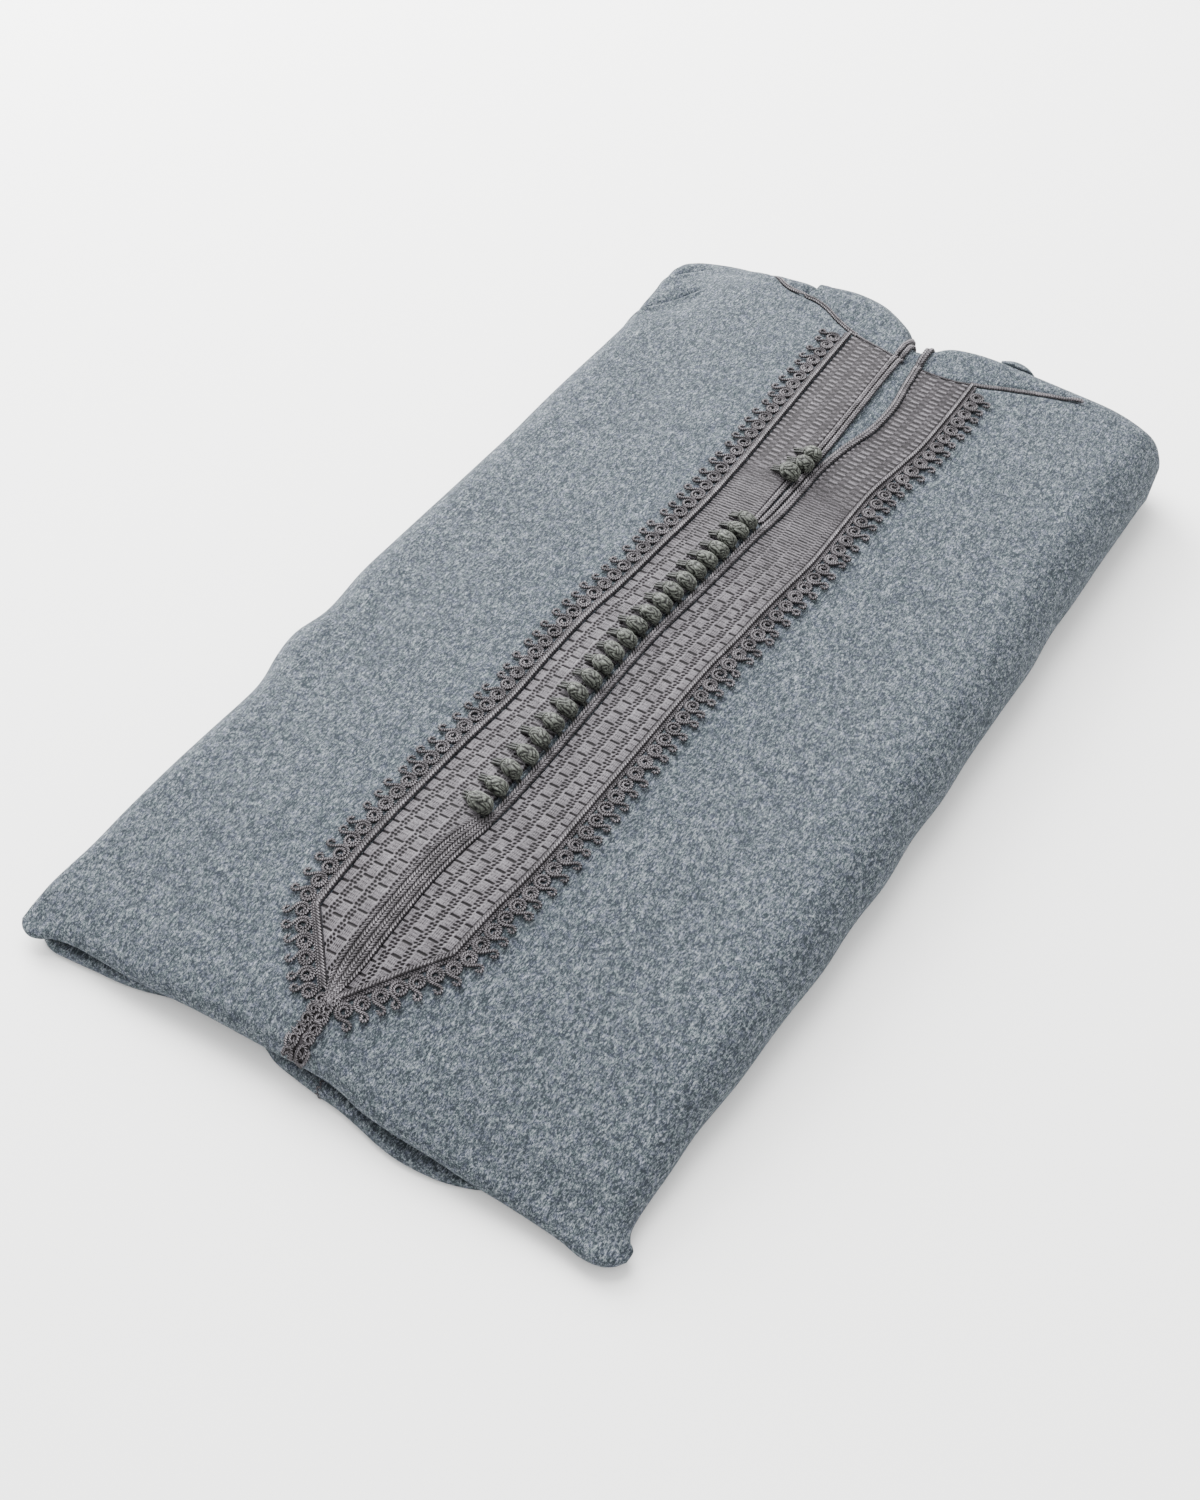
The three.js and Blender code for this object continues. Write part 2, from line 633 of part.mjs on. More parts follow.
// Height of the faceted cloth over a plan position.
function clothHeight(x, y) {
  for (const [a, b, c] of topCells) {
    const [p, q, r] = [points[a], points[b], points[c]];
    const area = (q.x - p.x) * (r.y - p.y) - (r.x - p.x) * (q.y - p.y);
    const u = ((x - p.x) * (r.y - p.y) - (r.x - p.x) * (y - p.y)) / area;
    const v = ((q.x - p.x) * (y - p.y) - (x - p.x) * (q.y - p.y)) / area;
    if (u >= -1e-6 && v >= -1e-6 && u + v <= 1 + 1e-6) return p.z + u * (q.z - p.z) + v * (r.z - p.z);
  }
  throw new Error(`no cloth under ${x.toFixed(1)}, ${y.toFixed(1)}`);
}

// A trim between pairs of plan points laid on the cloth; crown rounds its upper face across.
function laidTrim(name, slot, pairs, thick, crown = 0, lift = trimLift) {
  const shares = crown > 0 ? [0, 0.5, 1] : [0, 1];
  const outer = [];
  const inner = [];
  for (const [a, b] of pairs) {
    for (const t of shares) {
      const x = mix(a[0], b[0], t);
      const y = mix(a[1], b[1], t);
      const z = clothHeight(x, y) + lift;
      inner.push(vector(x, y, z));
      outer.push(vector(x, y, z + thick - crown * Math.abs(2 * t - 1)));
    }
  }
  wall(name, slot, outer, inner, stripCells(pairs.length, shares.length));
}

// Stations along Y from one value to another, about one step apart.
function stations(from, to, step) {
  const count = Math.ceil(Math.abs(to - from) / step);
  return Array.from({ length: count + 1 }, (_, k) => mix(from, to, k / count));
}

// Pairs across a trim that runs along Y between two edges of the plastron.
function between(left, right, ys) {
  return ys.map((y) => [[left(y), y], [right(y), y]]);
}

const edgeOf = (column) => (y) => read(plastron, "y", y, column);
const shifted = (edge, by) => (y) => edge(y) + by;
const neckAt = (x) => read(neckSeam, "x", x, "y");

// Outer edge of a galloon: the plastron's edge, then the straight cut to the point.
function outerEdge({ side, shoulder, tip }) {
  return (y) => {
    if (y >= shoulder[1]) return read(plastron, "y", y, side < 0 ? "outerLeft" : "outerRight");
    return mix(shoulder[0], tip[0], (y - shoulder[1]) / (tip[1] - shoulder[1]));
  };
}

// Galloons: each ends at the neck braid above and runs to the point below.
for (const [name, cut] of Object.entries(point)) {
  const inside = edgeOf(cut.side < 0 ? "innerLeft" : "innerRight");
  const outside = outerEdge(cut);
  const edges = cut.side < 0 ? [outside, inside] : [inside, outside];
  const [left, right] = [shifted(edges[0], gap / 2), shifted(edges[1], -gap / 2)];
  const ys = [...stations(cut.tip[1] + 2, cut.shoulder[1], 8), ...stations(cut.shoulder[1] + 14, 203, 18)];
  const pairs = between(left, right, ys);
  const [a, b] = [left(215), right(215)];
  pairs.push([[a, neckAt(a) - neckMargin], [b, neckAt(b) - neckMargin]]);
  laidTrim(`galloon_${name}`, "galloon", pairs, galloonThick);
}

// A cord or curled trim beside the outer edge of a galloon, round its shoulder and on to the point.
function edgeTrim(name, cut, from, to, thick, crown) {
  const { side, shoulder, tip } = cut;
  const outside = outerEdge(cut);
  const top = neckAt(outside(215)) - neckMargin;
  const pairs = stations(top, shoulder[1] + 12, 18).map((y) => (
    [[outside(y) + side * from, y], [outside(y) + side * to, y]]
  ));
  const turn = Math.hypot(shoulder[0] - tip[0], shoulder[1] - tip[1]);
  const away = [-side * (tip[1] - shoulder[1]) / turn, side * (tip[0] - shoulder[0]) / turn];
  const corner = [(away[0] + side) / 2, away[1] / 2];
  const square = Math.hypot(...corner) ** 2;
  const offset = (share, direction, scale) => [from, to].map((reach) => [
    mix(shoulder[0], tip[0], share) + direction[0] * reach * scale,
    mix(shoulder[1], tip[1], share) + direction[1] * reach * scale,
  ]);
  pairs.push(offset(0, corner, 1 / square));
  for (const share of [0.3, 0.6, 0.96]) pairs.push(offset(share, away, 1));
  if (side < 0) pairs.forEach((pair) => pair.reverse());
  laidTrim(name, "cord", pairs.reverse(), thick, crown);
}
for (const [name, cut] of Object.entries(point)) {
  edgeTrim(`outer_cords_${name}`, cut, gap / 2, cordPair, cordThick, 0.7);
  edgeTrim(`scroll_trim_${name}`, cut, cordPair + gap, cordPair + scrollReach, scrollThick, 0);
}

// Cords along the two edges of the slit; the right one goes on between the galloons.
laidTrim("inner_cords_left", "cord",
  between(shifted(edgeOf("innerLeft"), gap), shifted(edgeOf("slitLeft"), -cordSetback),
    stations(rowTop, slitCordEnd, 12)), cordThick, 0.5);
laidTrim("inner_cords_right", "cord",
  between(shifted(edgeOf("slitRight"), cordSetback), shifted(edgeOf("innerRight"), -gap),
    stations(braidStart + gap, slitCordEnd, 14)), cordThick, 0.5);
laidTrim("button_loops", "knot",
  between(shifted(edgeOf("innerLeft"), gap), shifted(edgeOf("slitLeft"), -cordSetback),
    stations(braidStart + gap, rowTop - gap, 14)), loopThick);
laidTrim("centre_braid", "cord",
  between(shifted(edgeOf("innerLeft"), gap), shifted(edgeOf("innerRight"), -gap),
    stations(-241, braidStart, 14)), braidThick);

// Neck braids over the seam of the hood, from the slit out to the shoulders.
function neckBraid(name, from, to, wide) {
  const xs = stations(from, to, 11);
  const pairs = xs.map((x) => {
    const slope = (neckAt(x + 1) - neckAt(x - 1)) / 2;
    const run = Math.hypot(1, slope);
    const half = wide(x) / 2;
    const at = (sign) => [x - (sign * half * slope) / run, neckAt(x) + (sign * half) / run];
    return [at(1), at(-1)];
  });
  laidTrim(name, "cord", pairs, braidThick, 0.4, neckBraidLift);
}
neckBraid("neck_braid_left", -78, 2, () => 3.2);
neckBraid("neck_braid_right", 20.8, 90, (x) => mix(2.4, 4.4, ease((x - 44) / 12)));

// The knotted band down the centre front, from the point to the fold, and on the lower fold.
const bandMiddle = (y) => read(plastron, "y", y, "slitLeft");
laidTrim("centre_band", "cord",
  between(shifted(bandMiddle, -bandWidth / 2), shifted(bandMiddle, bandWidth / 2),
    [foldEnd + 1, foldEnd + 2.6, foldEnd + 5.4, foldEnd + 11, -248, -241 - gap]), braidThick, 0.4);

function lowerBand() {
  const { half, thick, clear } = { half: 2, thick: 0.9, clear: 0.5 };
  const outer = [];
  const inner = [];
  for (const x of [lowerSeam - half, lowerSeam + half]) {
    const top = read(lowerFold, "x", x, "height");
    const edge = read(lowerFold, "x", x, "y") - clear;
    const section = [[4, top + clear], [1.1, top], [0, top / 2], [1.1, 0.8]];
    for (const [back, z] of section) {
      inner.push(vector(x, edge + back, z));
      outer.push(vector(x, edge + back - thick, z > top / 2 ? z + thick : z));
    }
  }
  wall("centre_band_lower", "cord", outer, inner, stripCells(2, 4));
}
lowerBand();

// ---- knotted buttons -------------------------------------------------------------------------------

// A knot of cord is a small barrel that lies across the plastron, on the galloon and its cords.
function knot(name, x, y, radius, halfLength, seat, turn) {
  const profile = [[0, -1], [0.72, -0.9], [1, -0.35], [1, 0.35], [0.72, 0.9], [0, 1]];
  const outline = profile.map(([r, h]) => new THREE.Vector2(r * radius, h * halfLength));
  const geometry = new THREE.LatheGeometry(outline, 8);
  const slot = new THREE.MeshStandardMaterial({ ...slots.knot, metalness: 0 });
  const mesh = new THREE.Mesh(geometry, slot);
  mesh.name = name;
  mesh.rotation.set(0, 0, Math.PI / 2 + turn);
  mesh.position.set(x, y, clothHeight(x, y) + seat + radius);
  garment.add(mesh);
}
const onCords = trimLift + cordThick + gap;
const onGalloon = trimLift + loopThick + gap;
for (const { name, x, y, radius } of chestKnots) knot(name, x, y, radius, radius * 1.2, onCords, -0.12);
for (let k = 0; k < knotRow.count; k += 1) {
  const y = knotRow.first - knotRow.pitch * k - (knotRow.growth / 2) * k * k;
  const step = knotRow.pitch + knotRow.growth * k;
  const wobble = 0.5 * Math.sin(2.4 * k);
  const size = k === knotRow.count - 1 ? lastKnot : 1;
  const radius = (step / 2 - 0.35) * size;
  const name = `button_${String(k + 1 + chestKnots.length).padStart(2, "0")}`;
  const x = read(plastron, "y", y, "slitLeft") - knotRow.fromSlit + wobble;
  knot(name, x, y - (size - 1) * 5, Math.min(radius, 4.4 * size), knotRow.halfLength * size, onGalloon, -0.1);
}

export default garment;
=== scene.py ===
"""Folded djellaba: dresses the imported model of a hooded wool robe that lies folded, chest up, on a pale
floor.

Inside the shape functions lengths are in millimetres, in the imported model's frame: X across the packet, Y
from the fold of the skirt to the neck, Z up. They become metres when a mesh is made.
"""

import math

import bpy
import numpy as np
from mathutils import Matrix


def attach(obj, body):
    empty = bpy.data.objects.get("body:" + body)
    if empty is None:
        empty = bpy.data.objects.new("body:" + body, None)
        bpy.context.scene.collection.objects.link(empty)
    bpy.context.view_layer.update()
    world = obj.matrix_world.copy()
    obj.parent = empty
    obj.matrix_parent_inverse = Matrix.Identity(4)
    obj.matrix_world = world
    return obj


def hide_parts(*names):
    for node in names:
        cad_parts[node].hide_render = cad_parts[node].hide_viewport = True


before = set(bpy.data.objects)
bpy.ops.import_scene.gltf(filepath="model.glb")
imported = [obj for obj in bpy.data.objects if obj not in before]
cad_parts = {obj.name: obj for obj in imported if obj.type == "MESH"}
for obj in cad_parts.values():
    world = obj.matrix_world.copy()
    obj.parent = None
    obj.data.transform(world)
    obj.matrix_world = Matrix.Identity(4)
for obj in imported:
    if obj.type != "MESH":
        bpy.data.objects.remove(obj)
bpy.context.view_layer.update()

bl_info = {
    "name": "Folded djellaba",
    "version": (1, 0, 0),
    "blender": (4, 5, 0),
    "location": "3D View > Sidebar > Djellaba",
    "description": "Wool shells, woven bands, cords and knotted buttons of a folded djellaba",
    "category": "Object",
}

MM = 0.001
BODY = "root"

# ---- sizes of the packet ---------------------------------------------------------------------------

FOLD_END = -267.0  # y of the fold of the skirt at the slit
FOLD_RADIUS = 5.0  # half the height of that pressed fold
FOLD_REST = 45.0  # how far from the fold the packet takes to reach its full side radius
NECK_DEPTH = 486.0  # length of the front from the fold to the neck seam, at the slit
HOOD_SHARE = 0.66  # share of the half width where the neck seam ends
LOBE_SHARE = 0.45  # and where the left lobe of the hood ends
CORNER_EVENING = 9.0  # reach over which the outline's corners are evened as the cloth turns under
CROWN = 40.0  # half width of the rounded crown at the middle
SIDE_WIDTH = 141.0  # half width at which the drop of the shoulders is measured


def table(names, rows):
    """Columns by name; the first column is the one that the table is read by."""
    columns = dict(zip(names, np.array(rows, float).T))
    columns["by"] = columns[names[0]]
    return columns


# The packet from the fold to the neck: its two sides, its height and how much lower its shoulders lie.
PACKET = table(
    ["y", "left", "right", "height", "drop_left", "drop_right"],
    [
        [-267, -146.6, 146, 19, 8, 10.4],
        [-262, -147.4, 145.8, 21, 8, 10.2],
        [-256, -147.8, 143, 23, 8, 9.9],
        [-250, -147.8, 140.8, 25, 8, 9.6],
        [-240, -147.2, 140.2, 27, 8, 9],
        [-222, -145.2, 141, 30.5, 7, 8.2],
        [-205, -144.2, 141.2, 33, 6, 7.5],
        [-180, -142.8, 143.8, 36, 5.5, 7],
        [-150, -140.8, 144.8, 38, 5, 6.5],
        [-125, -139.4, 146.6, 39.2, 5, 6],
        [-114, -140.4, 146.9, 39.5, 5, 6],
        [-98, -144.8, 146.4, 40, 5, 6],
        [-86, -145.8, 146.6, 40.4, 5, 6],
        [-66, -142, 147.8, 41, 4.5, 6],
        [-38, -143.6, 146.6, 41.8, 4, 5.5],
        [-12, -143, 147.7, 42.5, 4, 5.3],
        [15, -142.2, 146.8, 43, 4, 5],
        [52, -141, 147, 44, 4, 5],
        [80, -140.2, 147.4, 44.5, 4, 4.8],
        [105, -140.4, 145.8, 45, 4, 4.6],
        [131, -140.2, 146.2, 45.4, 4, 4.5],
        [164, -139.4, 146, 45.8, 4, 4.2],
        [186, -138.6, 146.2, 46, 4, 4],
        [208, -140.4, 146.4, 46, 4, 4],
        [224, -143.4, 147, 46, 4, 4],
        [266, -144.6, 145, 46, 4, 4],
    ],
)
# The fold of the skirt: its edge in plan and its height over the floor.
FOLD = table(
    ["x", "y", "height"],
    [
        [-147, -268, 10],
        [-144, -271.4, 9.4],
        [-140, -273, 9],
        [-136, -272.2, 9],
        [-130, -269.2, 9.4],
        [-118, -267.5, 10],
        [-90, -268.2, 11],
        [-55, -267, 12.6],
        [-18, -266.8, 13.4],
        [5, -266.4, 13.4],
        [16, -267.4, 13],
        [28, -270, 12.2],
        [46, -271.2, 11.3],
        [63, -271.4, 10.4],
        [77, -272, 9.4],
        [98, -272.2, 8.2],
        [120, -273.4, 7.4],
        [130, -275, 7],
        [138, -274.2, 6.8],
        [143, -271.4, 6.8],
        [146, -267.4, 6.8],
    ],
)
# The neck seam, and the shoulder lines that carry it on to the sides.
NECK_SEAM = table(
    ["x", "y"],
    [
        [-136.6, 208],
        [-122, 230],
        [-107, 246],
        [-95, 257],
        [-89, 257.5],
        [-82, 253],
        [-76, 248.4],
        [-70, 245.4],
        [-60, 243.2],
        [-52, 241.4],
        [-44, 238],
        [-34, 232],
        [-22, 226.5],
        [2, 220.5],
        [15, 217.5],
        [36, 218],
        [50, 222],
        [66, 228.5],
        [96, 238],
        [117, 237],
        [134, 230],
        [147.4, 218],
    ],
)
# The far edge over the hood: its widest line's height, the radius it rounds with and where it ends below.
FAR_EDGE = table(
    ["x", "y", "mid", "radius", "low"],
    [
        [-144.6, 247, 22, 8, 15],
        [-143, 255, 22, 8, 15],
        [-138.4, 260.6, 22, 8, 15],
        [-132, 264.6, 22.5, 9, 15],
        [-122, 266.8, 24, 11, 14],
        [-112, 267, 26, 13, 13],
        [-98, 264.6, 29, 14, 13],
        [-83, 261.8, 31, 13, 14],
        [-62, 263.5, 31, 13, 12],
        [-39, 267, 31, 14, 11],
        [-19, 263, 31, 13, 11],
        [-5, 254.5, 32, 12, 12],
        [3, 247, 33, 10, 13],
        [9.4, 236, 33, 9, 14],
        [15, 237.5, 33, 9, 14],
        [20, 243.5, 33, 10, 13],
        [27, 248.5, 32, 12, 12],
        [40, 252, 31, 13, 11],
        [60, 253.5, 30, 14, 10],
        [95, 253.5, 28, 15, 8],
        [111, 254, 25, 17, 3.4],
        [122, 252.5, 23, 18, 2.8],
        [134, 248.6, 22, 19.5, 2.6],
        [140.6, 244.6, 21, 20, 2.6],
        [144, 238.6, 21, 20, 2.6],
    ],
)
# The plastron: edges of the two woven bands and of the two fronts.
PLASTRON = table(
    ["y", "outer_left", "inner_left", "slit_left", "slit_right", "inner_right", "outer_right"],
    [
        [-265, -34, -7.4, -5.6, -5.5, -4.4, 24],
        [-243, -34, -7.6, -6.2, -6.1, -4.6, 24],
        [-236, -34, -10.2, -6.4, -6.3, -3, 24],
        [-226, -34, -12.5, -6.5, -6.4, -1.3, 24],
        [-208, -34, -12.9, -6.6, -6.5, -1, 24],
        [-180, -34, -11.7, -6.3, -6.2, -0.5, 26.4],
        [-160, -33.4, -9.8, -4.3, -4.2, 1.5, 29],
        [-140, -32, -4, -0.2, -0.1, 4.5, 30.6],
        [-110, -30, -1.2, 1.6, 1.7, 6, 31.3],
        [-80, -27.4, -1, 1.6, 1.7, 6.2, 31.9],
        [-50, -27.5, -1, 1.4, 1.5, 6, 32.4],
        [-20, -26.6, -0.6, 1.9, 2, 6.3, 33.2],
        [0, -24.4, 1, 3.6, 3.7, 8, 35],
        [20, -22.8, 2.6, 5.5, 5.6, 10, 36.2],
        [40, -21.4, 3.8, 7.1, 7.2, 11.5, 38],
        [60, -19.8, 4, 8.6, 8.7, 13, 40],
        [80, -19, 3.8, 10.6, 10.7, 15.2, 40.2],
        [100, -19, 3.8, 11.5, 11.6, 16, 40.2],
        [120, -19.4, 4.6, 11.6, 12.1, 16.2, 40.8],
        [140, -20, 5, 11.2, 14.7, 18.9, 43.4],
        [160, -20.6, 4.6, 10.6, 19.3, 23.6, 46],
        [180, -21.2, 4.2, 10, 20.4, 24.7, 46.6],
        [200, -21.7, 3.5, 9.4, 17.9, 22.4, 46.6],
        [225, -22.4, 2.6, 9.3, 15.2, 19.4, 46],
    ],
)
# The cut of each woven band to the point, from its shoulder to its tip.
POINT = {
    -1: {"shoulder": (-34.2, -210.0), "tip": (-9.0, -238.6)},
    1: {"shoulder": (24.2, -202.5), "tip": (-3.4, -239.4)},
}
# The skirt's lower fold, seen under the first: its edge and its height.
LOWER_FOLD = table(
    ["x", "y", "height"],
    [
        [-139, -267, 4],
        [-131, -270.6, 4.6],
        [-121, -270.4, 5],
        [-108, -269.4, 5.6],
        [-96, -268.6, 6.2],
        [-85, -266.8, 6.8],
        [-75, -264, 7],
        [-45, -258, 7.2],
        [-28, -261.5, 7.2],
        [-18, -265.6, 7.2],
        [-9, -267.2, 7.2],
        [5.85, -269.2, 7.2],
        [6.15, -269.2, 7.2],
        [16, -270, 7],
        [28, -272.2, 6.2],
        [38, -274.4, 5.8],
        [49, -275.6, 5.2],
        [60, -275.2, 4.8],
        [70, -273.6, 4.2],
        [82, -269.2, 3.4],
        [98, -259, 3],
    ],
)
# Creases, as lines in plan. At the far left corner lie the edge of the front over the sleeve and that of the
# sleeve over the shoulder; the third parts the left lobe of the hood from the layer beside it.
SLEEVE_CREASE = [
    (-140, 184),
    (-134, 192.5),
    (-129.9, 197.3),
    (-124.6, 204.7),
    (-118.6, 215.3),
    (-114.4, 222.7),
    (-112, 232),
]
SHOULDER_CREASE = [
    (-146, 227),
    (-139.3, 231.6),
    (-135.9, 234.2),
    (-131.6, 239.5),
    (-127.3, 244.9),
    (-123.8, 248.7),
    (-118, 257),
]
HOOD_CREASE = [(-60, 240), (-58.6, 245), (-57.6, 252), (-57, 260), (-57, 268)]
# For each crease: its line, where it works (between two x and past a y), the drop that stays, the drop at the
# crease and the reach over which that eases off, and the shares of its length over which it fades in and out.
CREASES = [
    (HOOD_CREASE, (-100, -40, 236), 0.2, 8.5, 3.2, 0.0, 0.0),
    (SLEEVE_CREASE, (-math.inf, -98, 160), 0.6, 11.0, 3.6, 0.08, 0.22),
    (SHOULDER_CREASE, (-math.inf, -98, 160), 0.3, 10.0, 3.0, 0.08, 0.3),
]

# Soft hills and hollows of the cloth: rise, x and y of the middle, and reach along x and along y. The first
# are the two lobes of the hood; the others are pressed into the cloth by the hidden layers.
LOBES = [(3, -34, 250, 30, 13), (2, 42, 241, 34, 11)]
DENTS = [
    (-0.9, -92, 150, 22, 60),
    (-0.9, 96, -60, 14, 110),
    (0.8, 120, -90, 10, 140),
    (-1.3, -112, -116, 30, 13),
    (1.0, -112, -86, 30, 14),
    (0.7, 86, 150, 26, 50),
    (-0.8, 92, 214, 30, 12),
    (0.6, -60, 205, 40, 14),
]
DENT_SHARE = 0.6  # the dents are this share of the rise in their table
# Slow waves, each a product of two sines. Each row has the rise and, for the two sines, the lengths along x
# and y, then along y and x, and where each starts.
WAVES = [(0.16, (31, 57, 0.6), (44, 83, 0)), (0.08, (11, 23, 0), (15, 19, 1))]
# The low far left corner, as two slopes: fall, then for x and for y where it starts and how far on it is
# whole.
CORNER_FALLS = [(6.5, (-88, 45), (165, 60)), (5, (-80, 25), (225, 40))]

# ---- smaller sizes ---------------------------------------------------------------------------------

LOWER_SEAM = 6.0  # x of the centre front seam on the lower fold
SLIT_TOP = {-1: 9.4, 1: 15.0}  # x of the slit's sides where they meet the far edge
SEAM_DEPTH = 1.5  # how far the cloth dips into the neck seam
SEAM_WIDTH = 1.8  # and how far from the seam the dip has mostly gone
CORNER_START = {-1: 160.0, 1: 185.0}  # y from which the sides take on the form of the far corners
LEFT_CORNER_PACE = 1.7  # the left corner takes it on this many times faster
RIM_SIDE = 112.0  # distance from the middle, at the sides, past which the cloth may round off
RIM_FAR = 205.0  # y of the same beside the far edge
RIM_FOLD = -254.0  # and beside the fold
PACKET_STEP = 2.6  # spacing of the outer cloth's points
TURN_ANGLES = [12, 25, 38, 51, 64, 77, 88]  # degrees of the rows that turn under at the rim
RUN_ON = [4, 9, 14]  # and how far the last rows run on below the fold
THIN_WALL = 1.6  # thickness of the cloth where only a small fold of it shows
LOWER_WALL = 1.7  # and in the skirt's lower fold
UNDER_CLOTH = 3.6  # depth of the hidden layers under the outer cloth
LAYERS = 5  # folded edges that show between the cloth and the floor
LAYER_STEPS = 26  # rings of points down the sides of the layers
LAYER_GRID, LAYER_ANGLES = 7.0, [35, 70]  # spacing of the layers' own points, and their turned-under rows


# ---- reading tables, small helpers -----------------------------------------------------------------


def read(sheet, column, at):
    """Cubic between a table's rows, with slopes from the rows on both sides, and level past its ends."""
    keys, values = sheet["by"], sheet[column]
    at = np.clip(np.asarray(at, float), keys[0], keys[-1])
    k = np.clip(np.searchsorted(keys, at, "right") - 1, 0, len(keys) - 2)
    padded_keys = np.concatenate([keys[:1], keys, keys[-1:]])
    padded = np.concatenate([values[:1], values, values[-1:]])
    slope = (padded[2:] - padded[:-2]) / (padded_keys[2:] - padded_keys[:-2])
    step = keys[k + 1] - keys[k]
    t = (at - keys[k]) / step
    rise = values[k + 1] - values[k]
    bend = (1 - t) * (slope[k] * step - rise) + t * (rise - slope[k + 1] * step)
    return values[k] + t * rise + t * (1 - t) * bend


def ease(t):
    """A soft step from 0 to 1: three t squared less two t cubed, with t kept between 0 and 1."""
    t = np.clip(t, 0.0, 1.0)
    return t * t * (3 - 2 * t)


def mix(a, b, t):
    """a where t is 0, b where t is 1, and straight between them."""
    return a + (b - a) * t


def hills(table_of_hills, x, y):
    """The sum of soft round hills: each is its rise times e to the minus squared distance, each way by its
    own reach."""
    total = 0
    for rise, middle_x, middle_y, reach_x, reach_y in table_of_hills:
        far_x, far_y = (x - middle_x) / reach_x, (y - middle_y) / reach_y
        total = total + rise * np.exp(-(far_x**2) - far_y**2)
    return total


def unit(vectors):
    """Vectors divided by their lengths."""
    return vectors / np.maximum(np.linalg.norm(vectors, axis=-1, keepdims=True), 1e-9)


def linear(hex_colour):
    """sRGB hex to linear RGBA."""
    channels = np.array([int(hex_colour[k : k + 2], 16) for k in (1, 3, 5)]) / 255
    curved = np.where(channels <= 0.04045, channels / 12.92, ((channels + 0.055) / 1.055) ** 2.4)
    return (*curved.tolist(), 1.0)


def beside(line, x, y):
    """How far points lie to the left of a line of straight pieces, going along it, and how far along its
    length from 0 to 1 the nearest place is."""
    line = np.array(line, float)
    start, step = line[:-1], np.diff(line, axis=0)
    length = np.hypot(step[:, 0], step[:, 1])
    px, py = x[..., None] - start[:, 0], y[..., None] - start[:, 1]
    t = np.clip((px * step[:, 0] + py * step[:, 1]) / length**2, 0, 1)
    off_x, off_y = px - t * step[:, 0], py - t * step[:, 1]
    best = np.argmin(off_x**2 + off_y**2, axis=-1)[..., None]
    side = np.take_along_axis(step[:, 0] * py - step[:, 1] * px, best, -1)[..., 0]
    apart = np.sqrt(np.take_along_axis(off_x**2 + off_y**2, best, -1))[..., 0]
    before = np.concatenate([[0], np.cumsum(length)])
    along = (before[best] + np.take_along_axis(t * length, best, -1))[..., 0] / before[-1]
    return np.sign(side) * apart, along


# ---- the packet's surface --------------------------------------------------------------------------


def height(x, y):
    """Height of the cloth before it rounds off at the edges: the middle's height, a drop that starts as a
    rounded crown and goes on almost straight to the side, the two lobes of the hood, the low far left corner
    and slow dents from the layers below."""
    drop = np.where(x < 0, read(PACKET, "drop_left", y), read(PACKET, "drop_right", y))
    away = (np.hypot(x, CROWN) - CROWN) / (math.hypot(SIDE_WIDTH, CROWN) - CROWN)
    corner = 0
    for fall, (start_x, reach_x), (start_y, reach_y) in CORNER_FALLS:
        corner = corner + fall * ease((start_x - x) / reach_x) * ease((y - start_y) / reach_y)
    return read(PACKET, "height", y) - drop * away + hills(LOBES, x, y) - corner + dents(x, y)


def dents(x, y):
    """What the hidden layers do to the cloth: the slow waves and the dents of their tables."""
    waves = 0
    for rise, (along_x, along_y, first), (across_y, across_x, second) in WAVES:
        one, other = x / along_x + y / along_y + first, y / across_y - x / across_x + second
        waves = waves + rise * np.sin(one) * np.sin(other)
    return waves + DENT_SHARE * hills(DENTS, x, y)


def creases(x, y):
    """The far left corner steps down twice, from the front to the sleeve and on to the shoulder, and the hood
    once, from its left lobe. The drop beside a crease is e to the minus the distance over a reach, added to a
    small rest, so the lower layer rolls down steeply into the gap and lies almost level away from it. Just
    inside the crease the upper layer swells a little. Both fade out at the crease's ends."""
    edge, swell, swell_at, swell_width = 0.9, 1.1, -1.4, 1.8
    drop = np.zeros_like(x)
    for line, (low_x, high_x, low_y), rest, deep, reach, start, end in CREASES:
        region = (x > low_x) & (x < high_x) & (y > low_y)
        if not region.any():
            continue
        apart, along = beside(line, x[region], y[region])
        if end:
            fade = ease(along / start) * ease((1 - along) / end)
        else:
            fade = ease((y[region] - read(NECK_SEAM, "y", x[region])) / 2) * ease((x[region] + 90) / 16)
        outside = np.maximum(apart, 0)
        drop[region] += fade * ease(apart / edge) * (rest + deep * np.exp(-outside / reach))
        drop[region] -= fade * swell * np.exp(-(((apart - swell_at) / swell_width) ** 2))
    return drop


def seam_dips(x, y):
    """The cloth draws down into the neck seam on both sides: e to the minus squared distance."""
    along = y - read(NECK_SEAM, "y", x)
    inside = ease((HOOD_SHARE * SIDE_WIDTH + 4 - np.abs(x)) / 8)
    return -SEAM_DEPTH * np.exp(-((along / SEAM_WIDTH) ** 2)) * inside


